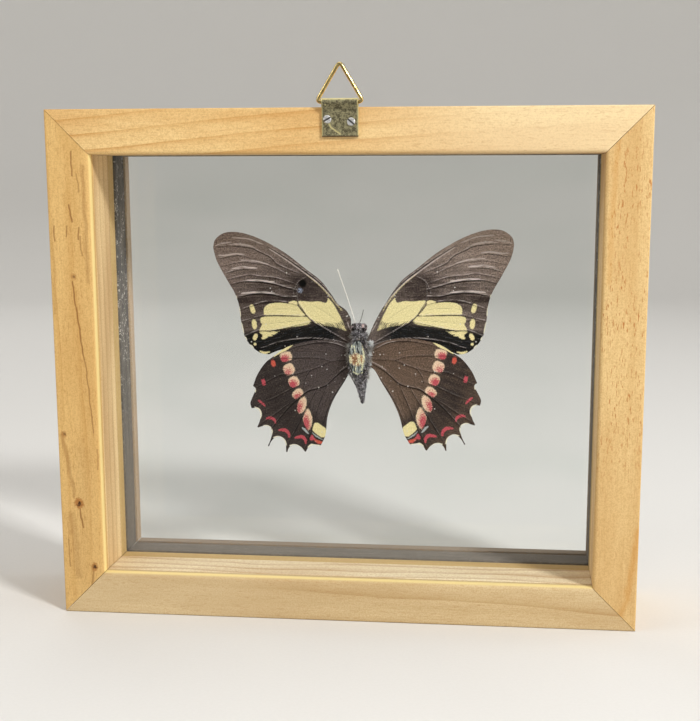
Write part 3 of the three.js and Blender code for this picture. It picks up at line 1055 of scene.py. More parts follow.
@dataclass(frozen=True)
class EyeFinish:
    """A compound eye: fine facets under a dark gloss."""

    name: str = "compound_eye"
    eye_highlight_at: Point = (3.1, 101.2)

    def material(self) -> Material:
        """Builds the eye, with a pale painted highlight on it.

        Returns:
            The material.
        """
        g = Graph(self.name)
        at = g.place()
        facets = g.cells(at, 7.0)
        cloud = g.noise(at, 1.4, 2.0)
        tint = g.blend(g.step(cloud, 0.52, 0.6), srgb("151211"), srgb("b3a3a8"))
        parts = g.parts(at)
        face = g.together(parts["X"], parts["Z"])
        # Painted highlight: a pale pinkish patch on the right eye
        apart = g.vector("LENGTH", g.vector("SUBTRACT", face, (*self.eye_highlight_at, 0.0)))
        apart = g.plus(apart, g.times(g.minus(cloud, 0.5), 1.2))
        tint = g.blend(g.step(apart, 0.8, 0.4, 0.0, 0.85), tint, srgb("e2c6c2"))
        gloss = g.step(cloud, 0.3, 0.7, 0.28, 0.4)
        return g.finish(
            Base_Color=tint, Roughness=gloss, Specular_IOR_Level=0.8, Normal=g.bump(facets, 0.03))


@dataclass(frozen=True)
class GlueFinish:
    """Old glue pressed flat on the glass, with grey hair in it, cream runs and an orange middle."""

    name: str = "old_glue"
    middle: Point = (1.35, 89.6)
    runs: tuple[tuple[Point, Point, float], ...] = (
        ((2.1, 5.9), (2.45, 0.5), 0.5), ((2.45, 0.5), (1.8, -4.0), 0.5), ((-2.0, 5.0), (-1.8, 3.6), 0.35),
        ((-0.9, 4.4), (-0.7, 2.0), 0.3), ((-1.3, -5.0), (0.6, -5.9), 0.4), ((0.6, -5.9), (2.4, -5.1), 0.4),
        ((-2.5, 0.6), (-2.2, -1.4), 0.8), ((0.6, 1.2), (1.0, -1.8), 0.8), ((-0.2, -1.6), (-0.5, -4.4), 0.3),
    )

    def material(self) -> Material:
        """Builds the glue.

        Returns:
            The material.
        """
        g = Graph(self.name)
        at = g.place()
        parts = g.parts(at)
        face = g.vector("SUBTRACT", g.together(parts["X"], parts["Z"]), (*self.middle, 0.0))
        lumps = g.noise(at, 1.3, 4.0, 0.75)
        fine = g.noise(at, 2.9, 3.0, 0.75)
        hairs = g.stretched(at, (2.8, 1.0, 0.6), 3.0, 0.6)
        tint = g.blend(g.step(hairs, 0.44, 0.58), srgb("20262a"), srgb("aab0ac"))
        core = g.vector(
            "LENGTH", g.vector("MULTIPLY", g.vector("ADD", face, (0.2, 0.4, 0.0)), (0.4, 0.52, 0.0)))
        core = g.plus(core, g.times(g.minus(lumps, 0.5), 1.4))
        warm = g.blend(g.step(fine, 0.46, 0.56), srgb("c48a4c"), srgb("fbeccb"))
        rims = g.plus(g.cells(at, 1.2), g.times(g.minus(fine, 0.5), 0.35))
        warm = g.blend(g.step(rims, 0.4, 0.52, 0.0, 0.85), warm, srgb("8a4f26"))
        tint = g.blend(g.step(core, 1.35, 0.9, 0.0, 0.95), tint, warm)
        broken = g.step(fine, 0.42, 0.52, 0.15, 0.97)
        for start, end, width in self.runs:
            apart = g.plus(g.apart(face, start, end), g.times(g.minus(lumps, 0.5), 1.1))
            tint = g.blend(g.times(g.step(apart, 0.9 * width, 0.45 * width), broken), tint, srgb("fbf7cc"))
        tint = g.blend(g.step(fine, 0.43, 0.34, 0.0, 0.85), tint, srgb("2c221c"))
        return g.finish(Base_Color=tint, Roughness=g.step(fine, 0.3, 0.7, 0.45, 0.2), Coat_Weight=0.3,
                        Normal=g.bump(g.plus(lumps, fine), 0.25, 0.8))


@dataclass(frozen=True)
class PaperFinish:
    """The studio's pale seamless paper."""

    name: str = "studio_paper"
    tint: Colour = srgb("e4e2de")

    def material(self) -> Material:
        """Builds the paper.

        Returns:
            The material.
        """
        g = Graph(self.name)
        at = g.place()
        tooth = g.noise(at, 0.9, 3.0)
        tint = g.blend(g.step(tooth, 0.3, 0.7, 0.0, 0.12), self.tint, srgb("d5d2cd"))
        return g.finish(Base_Color=tint, Roughness=0.9, Specular_IOR_Level=0.1)


# --- Joinery ---


@dataclass(frozen=True)
class SideSeat:
    """Where a side of a mitred frame lies: outer length, turn about Y and the middle of its outer edge."""

    name: str
    grain: Grain
    length: float
    turn: float
    x: float
    z: float

    def place(self, along: np.ndarray, y: np.ndarray, inward: np.ndarray) -> np.ndarray:
        """Puts strip coordinates into the model's frame."""
        c, s = math.cos(self.turn), math.sin(self.turn)
        return np.stack([along * c + inward * s + self.x, y, inward * c - along * s + self.z], axis=-1)


SIDES = (
    SideSeat("bottom", Grain.LEVEL, FRAME_WIDTH, 0.0, 0.0, 0.0),
    SideSeat("top", Grain.LEVEL, FRAME_WIDTH, math.pi, 0.0, FRAME_HEIGHT),
    SideSeat("left", Grain.UPRIGHT, FRAME_HEIGHT, math.pi / 2, -FRAME_WIDTH / 2, FRAME_HEIGHT / 2),
    SideSeat("right", Grain.UPRIGHT, FRAME_HEIGHT, -math.pi / 2, FRAME_WIDTH / 2, FRAME_HEIGHT / 2),
)


def rounded_section(
    corners: list[tuple[float, float, float]], arc_steps: int = 6, longest: float = 2.5,
) -> np.ndarray:
    """A closed section whose corners are rounded and whose flats are cut into short stretches.

    Args:
        corners: Each corner as inward, depth and radius, in order round the section.
        arc_steps: Steps in a rounded corner.
        longest: The longest stretch that is left on a flat, in mm.

    Returns:
        The section's points.
    """
    points: list[np.ndarray] = []
    spots = [np.array(c[:2]) for c in corners]
    for i, (_, _, radius) in enumerate(corners):
        before, here, after = spots[i - 1], spots[i], spots[(i + 1) % len(spots)]
        if radius == 0:
            points.append(here)
            continue
        to_before = (before - here) / np.linalg.norm(before - here)
        to_after = (after - here) / np.linalg.norm(after - here)
        centre = here + radius * (to_before + to_after)
        for step in np.linspace(0, math.pi / 2, arc_steps + 1):
            points.append(centre - radius * (math.cos(step) * to_after + math.sin(step) * to_before))
    filled: list[np.ndarray] = []
    for here, after in zip(points, [*points[1:], points[0]]):
        count = max(1, math.ceil(np.linalg.norm(after - here) / longest))
        filled.extend(here + (after - here) * k / count for k in range(count))
    return np.array(filled)


@dataclass
class MitredFrame:
    """Four mitred strips of one section round the window."""

    prefix: str
    section: np.ndarray
    slot: Slot
    finishes: dict[str, WoodFinish | SpacerFinish]
    ring_step: float = 3.0
    waviness: float = 0.035

    def build(self) -> None:
        """Makes the four strips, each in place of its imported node."""
        for seat in SIDES:
            places, faces = sweep(self._rings(seat))
            node = f"{self.prefix}_{seat.name}"
            material = self.finishes[seat.name].material()
            make_piece(f"{node}_dressed", places, faces, material, (node,))

    def _rings(self, seat: SideSeat) -> np.ndarray:
        """The strip's sections from one mitred end to the other, planed a little unevenly.

        Args:
            seat: Where the strip lies.

        Returns:
            The sections.
        """
        inward, depth = self.section[:, 0], self.section[:, 1]
        shares = np.linspace(-1, 1, round(seat.length / self.ring_step))
        reach = seat.length / 2 - inward - MITRE_GAP
        rings = np.array([seat.place(share * reach, depth, inward) for share in shares])
        inner = self.section.mean(axis=0)
        away = self.section - inner
        away /= np.linalg.norm(away, axis=1)[:, None]
        for ring in rings:
            for k, (place, (push_in, push_deep)) in enumerate(zip(ring, away)):
                lift = -self.waviness * (0.5 + 0.5 * noise.noise(Vector(place) * 0.06))
                shift = seat.place(np.float64(0), push_deep * lift, push_in * lift)
                ring[k] = place + (shift - np.array([seat.x, 0, seat.z]))
        return rings


@dataclass
class Joinery:
    """The frame's rails and the strips that fill its rebate."""

    arris_outside: float = 0.6
    arris_inside: float = 1.3
    strip_arris: float = 0.18
    pine: dict[str, WoodFinish] = field(default_factory=dict)

    def __post_init__(self) -> None:
        """Chooses each rail's own piece of wood."""
        honey, amber = srgb("ecc682"), srgb("c08a42")
        self.pine = {
            "top": WoodFinish(
                "pine_top", Grain.LEVEL, srgb("f3d294"), srgb("c98b3e"), pith_across=-60.0, line_at=165.4,
                drift=0.078, fade=(-20.0, 70.0), ring=5.2, ring_dark=0.85, flecks=0.22, seed=3.0,
            ),
            "bottom": WoodFinish(
                "pine_bottom", Grain.LEVEL, srgb("dfc89b"), srgb("b48e5a"), pith_across=120.0, line_at=10.9,
                drift=-0.04, fade=(10.0, -45.0), fade_share=0.12, ring=9.5, ring_dark=0.8, flecks=0.2,
                seed=11.0, lip_highlight_at=RAIL_FACE,
            ),
            "left": WoodFinish(
                "pine_left", Grain.UPRIGHT, honey, amber, pith_across=-190.0, line_at=-97.5, drift=-0.02,
                ring=6.4, ring_dark=0.42, flecks=0.35, seed=21.0, lip_highlight_at=RAIL_FACE - FRAME_WIDTH / 2,
                knots=(
                    Knot(120.8, -93.3, 0.8, 0.55), Knot(65.4, -99.2, 0.8, 0.6), Knot(40.4, -94.8, 1.35, 1.0),
                    Knot(17.0, -90.0, 1.05, 0.9),
                ),
                streaks=(
                    Streak((119.0, -93.6), (92.0, -90.8), 0.55, 0.85),
                    Streak((92.0, -90.8), (66.0, -88.2), 0.45, 0.7),
                    Streak((163.0, -92.6), (155.0, -92.2), 0.6, 0.75),
                    Streak((155.5, -90.6), (149.5, -90.2), 0.55, 0.5),
                    Streak((145.0, -93.8), (139.5, -93.2), 0.6, 0.8),
                    Streak((138.0, -99.8), (133.0, -99.4), 0.6, 0.75),
                    Streak((138.0, -95.5), (134.5, -95.2), 0.55, 0.75),
                    Streak((137.5, -91.2), (133.5, -90.9), 0.55, 0.75),
                    Streak((134.5, -90.3), (128.0, -89.8), 0.55, 0.55),
                    Streak((65.0, -99.6), (43.0, -96.4), 1.5, 0.42),
                    Streak((38.5, -94.6), (31.5, -93.8), 0.7, 0.85),
                    Streak((27.0, -99.8), (17.0, -98.9), 0.55, 0.6),
                    Streak((15.5, -90.4), (9.5, -91.6), 0.9, 0.6),
                    Streak((158.0, -88.6), (119.0, -88.2), 1.5, 0.35),
                    Streak((140.0, -100.2), (108.0, -100.6), 1.2, 0.2),
                    Streak((36.0, -97.6), (14.0, -96.0), 3.4, 0.36),
                    Streak((60.0, -87.2), (53.0, -87.6), 0.6, 0.5),
                    Streak((60.0, -93.0), (10.0, -94.5), 6.0, 0.16),
                ),
            ),
            "right": WoodFinish(
                "pine_right", Grain.UPRIGHT, srgb("eaca8f"), srgb("c49352"), pith_across=-60.0, line_at=97.0,
                drift=0.01, ring=11.0, ring_dark=0.25, flecks=1.0, fleck_tint=srgb("b8702e"),
                fleck_rise=(45.0, 75.0), seed=37.0, streak_tint=srgb("c8862a"),
                streaks=(
                    Streak((36.0, 101.2), (12.0, 98.6), 2.4, 0.42),
                    Streak((12.0, 98.6), (4.0, 95.6), 1.8, 0.35),
                    Streak((166.0, 90.2), (120.0, 88.4), 1.7, 0.3),
                ),
            ),
        }

    def build(self) -> None:
        """Makes every strip of wood and the dark spacers."""
        MitredFrame("rail", self._rail_section(), Slot.PINE, self.pine).build()
        liner = self._strip(BACK_LIP, LINER_END)
        woods = self._woods("liner", srgb("fbe2ae"), srgb("a8743e"), 0.62, 5.0, 4.2)
        woods["bottom"] = replace(
            woods["bottom"], ring=5.4, ring_dark=0.9, wave=1.5, pale=srgb("fff3d0"), dark=srgb("b98a50"))
        MitredFrame("liner", liner, Slot.LINER, woods).build()
        stop = self._strip(LINER_END, STOP_END)
        woods = self._woods("stop", srgb("dabf88"), srgb("a98c56"), 0.45, 9.0, 1.7)
        MitredFrame("stop", stop, Slot.STOP, woods).build()
        spacer = self._strip(STOP_END + PANE_THICKNESS + SEAT_GAP, SPACER_END)
        dark = {seat.name: SpacerFinish(f"dark_spacer_{seat.name}") for seat in SIDES}
        MitredFrame("spacer", spacer, Slot.SPACER, dark).build()
        front = self._strip(SPACER_END + PANE_THICKNESS + SEAT_GAP, FRONT - BACK)
        woods = self._woods("front_stop", srgb("b5a89b"), srgb("83766a"), 0.7, 15.0, 1.5)
        woods["left"] = replace(woods["left"], pale=srgb("d6c1ab"), dark=srgb("9d8670"))
        MitredFrame("front_stop", front, Slot.STOP, woods).build()

    def _rail_section(self) -> np.ndarray:
        """The rail's section: a lip at the back and a rebate open to the front.

        Returns:
            The section's points.
        """
        lip_end = BACK + BACK_LIP
        outside, inside_edge = self.arris_outside, self.arris_inside
        return rounded_section([
            (0.0, BACK, outside), (RAIL_FACE, BACK, inside_edge), (RAIL_FACE, lip_end, 0.0),
            (RAIL_WALL, lip_end, 0.0), (RAIL_WALL, FRONT, 0.0), (0.0, FRONT, outside),
        ])

    def _strip(self, start: float, end: float) -> np.ndarray:
        """The section of a strip in the rebate between two distances from the back face.

        Args:
            start: How far its near side is from the back face, in mm.
            end: How far its far side is.

        Returns:
            The section's points.
        """
        outer = RAIL_WALL + SEAT_GAP
        near, far = BACK + start + SEAT_GAP, BACK + end
        arris = self.strip_arris
        return rounded_section([
            (outer, near, 0.0), (RAIL_FACE, near, arris), (RAIL_FACE, far, arris), (outer, far, 0.0),
        ], 3)

    def _woods(
        self, prefix: str, pale: Colour, dark: Colour, ring_dark: float, seed: float, ring: float,
    ) -> dict[str, WoodFinish]:
        """One piece of plain wood for each side.

        Args:
            prefix: What the strips are called.
            pale: The early wood's colour.
            dark: The late wood's colour.
            ring_dark: How dark the growth lines are.
            seed: Shifts the noise.
            ring: The width of a growth ring.

        Returns:
            The finishes by side.
        """
        return {
            seat.name: WoodFinish(
                f"{prefix}_wood_{seat.name}", seat.grain, pale, dark, ring=ring, ring_dark=ring_dark,
                wave=0.8, fibre=0.15, flecks=0.2, seed=seed + 13.0 * i, drift=0.01 * (i - 1.5),
                pith_across=seat.x + seat.z - 6.0, pith_depth=90.0)
            for i, seat in enumerate(SIDES)
        }


@dataclass
class Glazing:
    """The two panes that hold the butterfly."""

    edge_bevel: float = 0.12

    def build(self) -> None:
        """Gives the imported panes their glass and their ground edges."""
        for node in ("glass_back", "glass_front"):
            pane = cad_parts[node]
            dress(pane, GlassFinish(f"float_{node}").material())
            ease(pane, "ground_edge", self.edge_bevel, 30.0)
            pane.visible_shadow = False
            log.info("%s: packed pane with ground edges", node)


def dress(node: bpy.types.Object, material: Material) -> None:
    """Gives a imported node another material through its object's slots.

    Args:
        node: The node.
        material: Its finish.
    """
    for slot in node.material_slots:
        slot.link = "OBJECT"
        slot.material = material


def ease(piece: bpy.types.Object, name: str, width_mm: float, above: float) -> None:
    """Bevels the edges that turn by more than an angle.

    Args:
        piece: The object.
        name: What the modifier is called.
        width_mm: The bevel's width.
        above: The angle, in degrees.
    """
    bevel = piece.modifiers.new(name, "BEVEL")
    bevel.width = width_mm * MM
    bevel.segments = 2
    bevel.limit_method = "ANGLE"
    bevel.angle_limit = math.radians(above)


def store(piece: bpy.types.Object, name: str, values: np.ndarray) -> None:
    """Stores a number or a vector at each point of a piece's mesh.

    Args:
        piece: The object.
        name: What the value is called.
        values: A row for each vertex.
    """
    kind, key = ("FLOAT_VECTOR", "vector") if values.ndim == 2 else ("FLOAT", "value")
    made = piece.data.attributes.new(name, kind, "POINT")
    made.data.foreach_set(key, values.astype(np.float32).ravel())


# --- Hanger ---


@dataclass
class Hanger:
    """The folded plate, its two screws and the wire ring that swings in the fold."""

    x: float = -0.3
    plate_width: float = 12.1
    plate_bottom: float = 167.4
    sheet: float = 0.4
    wire_radius: float = 0.65
    wire_play: float = 0.15
    pivot_above: float = 1.55
    fold_blend: float = 3.0
    ring_half_width: float = 7.05
    ring_height: float = 12.1

    @property
    def pivot(self) -> tuple[float, float]:
        """The ring's axis, as its Y and Z."""
        fold = self.wire_radius + self.wire_play + self.sheet
        return BACK - SEAT_GAP - fold, FRAME_HEIGHT + self.pivot_above

    def build(self) -> None:
        """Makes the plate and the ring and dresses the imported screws."""
        self._plate()
        self._ring()
        for node, x, z, turn in (
            ("hanger_screw_left", -4.2, 173.0, 0.5), ("hanger_screw_right", 3.7, 172.2, -0.7),
        ):
            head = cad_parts[node]
            reach = 1.3 * np.array([math.cos(turn), math.sin(turn)])
            middle = np.array([x + self.x, z])
            slot = (tuple(middle - reach), tuple(middle + reach))
            nickel = MetalFinish(f"nickel_{node}", srgb("ffffff"), srgb("a9a7a2"), 0.2, 0.5, slot)
            dress(head, nickel.material())
            ease(head, "soft_edge", 0.05, 40.0)
            log.info("%s: packed screw with eased edges", node)

    def _plate(self) -> None:
        """Bends the sheet up the back, round the loop and down the front."""
        y, z = self.pivot
        radius = self.wire_radius + self.wire_play + self.sheet / 2
        back_layer = BACK - SEAT_GAP - self.sheet / 2
        front_layer = back_layer - self.sheet - 0.02
        turn = np.linspace(0, math.pi + 0.45, 34)
        loop = np.stack([y + radius * np.cos(turn), z + radius * np.sin(turn)], 1)
        rise = np.linspace(self.plate_bottom, z, 12)[:-1]
        blend_end = z - self.fold_blend
        leave = loop[-1] + np.array([0.25, -0.6])
        arrive = (front_layer, blend_end + 0.9)
        blend = bezier(tuple(loop[-1]), tuple(leave), arrive, (front_layer, blend_end), 10)
        fall = np.linspace(blend_end, self.plate_bottom, 10)[1:]
        line = np.vstack([
            np.stack([np.full(len(rise), back_layer), rise], 1), loop, blend[1:],
            np.stack([np.full(len(fall), front_layer), fall], 1),
        ])
        ahead = np.gradient(line, axis=0)
        ahead /= np.linalg.norm(ahead, axis=1)[:, None]
        normal = np.stack([-ahead[:, 1], ahead[:, 0]], 1) * self.sheet / 2
        section = np.vstack([line + normal, (line - normal)[::-1]])
        xs = self.x + self.plate_width * np.linspace(-0.5, 0.5, 25)
        rings = np.array([np.column_stack([np.full(len(section), at), section]) for at in xs])
        places, faces = sweep(rings)
        plate = make_piece(
            "hanger_plate_folded", places, faces, PlateFinish().material(), ("hanger_plate",))
        edge = self.plate_width / 2 - np.abs(places[:, 0] - self.x)
        # Painted highlight mask: the plate's side edges and the top of its fold
        rubbed = np.maximum(1 - smoothstep(0.0, 0.35, edge), smoothstep(z + 0.5, z + 0.95, places[:, 2]))
        store(plate, "rubbed", rubbed * 0.9)
        ease(plate, "eased_edge", 0.07, 50.0)

    def _ring(self) -> None:
        """Bends the wire into a triangle whose ends meet inside the fold."""
        y, z = self.pivot
        corner, butt, spare = 1.9, 0.25, 0.75
        right = np.array([self.ring_half_width + spare, 0.0])
        left = right * [-1, 1]
        top = np.array([0.0, self.ring_height + spare])
        start, end = np.array([butt, 0.0]), np.array([-butt, 0.0])
        line, here = [], start
        for at, after in ((right, top), (top, left), (left, end)):
            arrive = at - corner * (at - here) / np.linalg.norm(at - here)
            leave = at + corner * (after - at) / np.linalg.norm(after - at)
            line.append(here + (arrive - here) * np.linspace(0, 1, 22)[:-1, None])
            t = np.linspace(0, 1, 14)[:, None]
            line.append(arrive * (1 - t) ** 2 + 2 * at * t * (1 - t) + leave * t**2)
            here = leave
        line.append(here + (end - here) * np.linspace(0, 1, 22)[1:, None])
        flat = np.vstack(line)
        path = np.column_stack([flat[:, 0] + self.x, np.full(len(flat), y), flat[:, 1] + z])
        places, faces = tube(path, np.full(len(path), self.wire_radius), 24)
        gold = MetalFinish("yellow_wire", srgb("fbe29a"), srgb("cf9d48"), 0.17, 0.8).material()
        make_piece("hanger_ring_wire", places, faces, gold, ("hanger_ring",), Rider.RING)


# --- Wings ---


@dataclass(frozen=True)
class WingSeat:
    """How a wing sits: its side, its turn about the midline, its shift, its tilt and its depth."""

    node: str
    side: int
    turn: float
    shift: float
    tilt: float
    depth: float
    tuck: float = 0.0

    def place(self, u: np.ndarray, depth: np.ndarray, v: np.ndarray, midline: np.ndarray) -> np.ndarray:
        """Puts the wing's own coordinates into the model's frame.

        Args:
            u: How far out.
            depth: How far towards the display side.
            v: How far up.
            midline: The body's middle.

        Returns:
            The places, N by 3.
        """
        turn = math.radians(-self.side * self.turn)
        tilt = math.radians(self.side * self.tilt)
        x = self.side * u
        x, z = x * math.cos(turn) + v * math.sin(turn), v * math.cos(turn) - x * math.sin(turn)
        x = x + self.side * self.shift
        x, y = x * math.cos(tilt) - depth * math.sin(tilt), x * math.sin(tilt) + depth * math.cos(tilt)
        return np.stack([x, y + self.depth, z], axis=-1) + midline


@dataclass(frozen=True)
class WingPlan:
    """What is drawn on a kind of wing. Every mark is in the wing's own plane."""

    cream: tuple[Mark, ...] = ()
    spots: tuple[Spot, ...] = ()
    red: tuple[Mark, ...] = ()
    orange: tuple[Mark, ...] = ()
    rim: tuple[Mark, ...] = ()
    ash: tuple[Mark, ...] = ()
    veins: tuple[Stroke, ...] = ()
    folds: tuple[Stroke, ...] = ()
    gleams: tuple[Stroke, ...] = ()


CELL_BAND = Patch((
    (12.6, 22.7), (13.3, 21), (16, 21.5), (19.1, 21.4), (22.2, 21.7), (23.8, 21.6), (23.5, 20.2),
    (22.2, 18.3), (20.6, 16.3), (18.5, 14.5), (17.2, 13.4), (15.3, 12.5), (12.9, 12.4), (10.6, 12),
    (8.7, 11.4), (6.1, 10.7), (6.8, 12.9), (7.9, 15.4), (9.3, 18.1), (10.8, 20.8),
))
CELL_TIP = Patch(((24.3, 21.7), (26, 21.8), (27.5, 21.3), (27.3, 20.9), (25.6, 20.4), (24.2, 20.2)))
UPPER_LOBE = Patch((
    (24, 19.9), (27.6, 20.8), (30.6, 21.2), (33.7, 21), (35.6, 20.4), (36.8, 19.2), (37, 17.4), (36.6, 16.7),
    (32.2, 16.6), (26, 16.4), (21.4, 16.3), (22.4, 17.7),
))
MIDDLE_LOBE = Patch((
    (19, 14.4), (20.6, 15.8), (26, 16), (32.2, 16.2), (37, 16.1), (38.3, 15.4), (38.4, 14.2), (37.9, 13.1),
    (38.5, 11.9), (38.9, 11), (37.6, 10.8), (33.7, 11), (29.9, 11.5), (26, 12.1), (22.2, 12.7), (19.5, 13.1),
))
LOWER_LOBE = Patch((
    (31, 10.7), (38.3, 10.6), (38.8, 10), (37.9, 9.2), (38.3, 7.9), (37.6, 7.5), (35.6, 8.3), (33.7, 9),
    (32.2, 9.8),
))

FOREWING_PLAN = WingPlan(
    cream=(
        CELL_BAND, CELL_TIP, UPPER_LOBE, MIDDLE_LOBE, LOWER_LOBE, Spot((41.3, 18.9), 1.8, 3.5, -14),
        Spot((40.8, 13.2), 1.9, 3.7, -4), Spot((40.6, 8.5), 1.6, 2.8, 26), Spot((40.8, 5.8), 1.1, 1.1),
        Stroke(((35.4, 2.9), (37.2, 2.5), (39, 3.2)), 1.1, 0.5),
        Stroke(((8.2, 17.8), (10.6, 21.8), (15.4, 27.2), (20.6, 31.6)), 0.3, 0.3),
    ),
    rim=(
        Stroke(((46.5, 19.7), (46.3, 17.9), (46.1, 16.2)), 0.75),
        Stroke(((45.9, 14), (45.6, 12), (45.1, 10)), 0.85), Stroke(((44.7, 8.7), (44, 7.2)), 0.8),
        Stroke(((42.7, 5.5), (41.5, 4.3)), 0.8), Stroke(((47.5, 24), (47.1, 22.9)), 0.5),
    ),
    veins=(
        Stroke((
            (3, 5.2), (6, 6.5), (10.6, 9.2), (14.5, 11.5), (18.3, 13.8), (20.6, 16.2), (22.4, 18.9),
            (24, 21.7), (24.1, 25), (23.7, 27.6),
        ), 0.36),
        Stroke(((20.6, 30), (23.7, 28.1), (25.6, 23.8)), 0.3),
        Stroke((
            (22.9, 31.5), (30.6, 34.8), (33.7, 37.7), (37.6, 39.6), (41.4, 41.3), (49.1, 42.1), (55.1, 41.7),
        ), 0.34),
        Stroke(((42.9, 38.1), (47.2, 38.5), (53.9, 37.3)), 0.32),
        Stroke(((26.5, 30.8), (34.5, 34.6), (39.5, 35.6), (45.3, 36), (52.9, 34.6)), 0.28),
        Stroke(((39.5, 33.2), (45.3, 33.4), (51.4, 31.9)), 0.32),
        Stroke(((24.5, 27.6), (31.8, 30), (37.6, 30.6), (42.6, 31.2), (50.6, 29.6)), 0.28),
        Stroke(((24.1, 25.4), (26.8, 26.2), (33.7, 28.1), (39.1, 28.8), (44.5, 28.9), (49.1, 27.9)), 0.52),
        Stroke(((24.2, 23), (29.1, 23.1), (33.7, 24), (39.1, 24.4), (47, 23.3)), 0.56),
        Stroke(((24.1, 20.2), (27.6, 21), (33, 21.4), (38, 21), (46.4, 18.2)), 0.3),
        Stroke(((20.9, 16.2), (26, 16.2), (32.2, 16.4), (38, 16), (46, 14)), 0.34),
        Stroke(((18.5, 14), (26, 12.4), (33.7, 10.8), (39, 10.7), (44.6, 8.6)), 0.32),
        Stroke(((3, 4.4), (10, 6.6), (20, 7.6), (30, 6.6), (38.5, 4)), 0.34),
        Stroke((
            (3.2, 9.6), (6.2, 16.4), (10.6, 22.9), (15.3, 28.1), (20.6, 32.3), (27.6, 37.3), (35, 41.8),
        ), 0.4),
    ),
    folds=(
        Stroke(((9, 14), (14, 17.6), (19.5, 20.8)), 0.2),
        Stroke(((24.5, 18.4), (30, 18.9), (36.4, 18.5)), 0.2),
        Stroke(((22.5, 14.6), (30, 13.9), (37.6, 13.3)), 0.2),
        Stroke(((27, 24.9), (34, 26.3), (47.9, 25.9)), 0.2), Stroke(((20, 10.2), (29, 9.2), (40, 6.6)), 0.3),
        Stroke(((30, 32), (40, 32.4), (50.9, 30.8)), 0.2), Stroke(((33, 29.2), (41, 30), (49.8, 28.8)), 0.2),
        Stroke(((40, 40.2), (47, 40.6), (54.8, 39.6)), 0.2),
    ),
    gleams=(
        Stroke(((38.5, 40.6), (41.4, 42), (45.3, 42.7), (48.8, 42.7)), 0.5),
        Stroke(((43.7, 38.9), (47.2, 39.2), (51.4, 38.7), (53.5, 38.9)), 0.4),
        Stroke(((34.5, 35.2), (39.5, 36.5), (45, 37)), 0.25),
        Stroke(((39.1, 33.9), (44.5, 34.4), (48.7, 33.7)), 0.4),
        Stroke(((32.6, 28.7), (37.6, 29.3), (43.3, 29.5)), 0.4),
        Stroke(((32.6, 24.6), (39.1, 25.1), (45.3, 24.7)), 0.4),
        Stroke(((8.9, 19.8), (10.9, 22.9), (15.7, 27.9), (20.9, 31.9), (27.9, 36.9), (34, 40.9)), 0.25, 0.3),
        Stroke(((4.2, 10.4), (6, 13.6)), 0.02), Stroke(((48.5, 43.5), (52.5, 43.1), (54.5, 42.3)), 0.35),
        Stroke(((36.5, 42.6), (42, 44.6), (48, 45.2)), 0.3),
    ),
)

HINDWING_SPOTS = (
    Spot((29.4, 2.3), 4.4, 3.6, -12, 3.2, 0.8), Spot((28.6, -2.4), 4.2, 4.1, -22, 3, 0.5),
    Spot((27.1, -7.2), 4, 4, -24, 2.8, 0.8), Spot((25.9, -11.7), 4.4, 3.2, -38, 2.8, 0.6),
    Spot((24.5, -16.1), 3.5, 6.6, 22, 1.85, 0.6), Spot((22.4, -21.4), 3.9, 8.2, 2, 1.55, 0.7),
)

INNER_SQUARE = Patch((
    (17.1, -23.9), (18.3, -23), (19.6, -22.9), (20.3, -23.7), (20.9, -25.1), (20.5, -26.2), (18.3, -28.1),
    (16.9, -28.4), (15.9, -27.4), (15.6, -25.3),
))
INNER_FLAME = Patch((
    (20, -29.2), (20.6, -28.3), (21.3, -27.4), (21.9, -28), (22.3, -28.9), (21.8, -29.4), (20.7, -29.4),
    (20.1, -30.1), (19.3, -30.8), (17.9, -30.7), (18.3, -30), (19.3, -29.8),
))

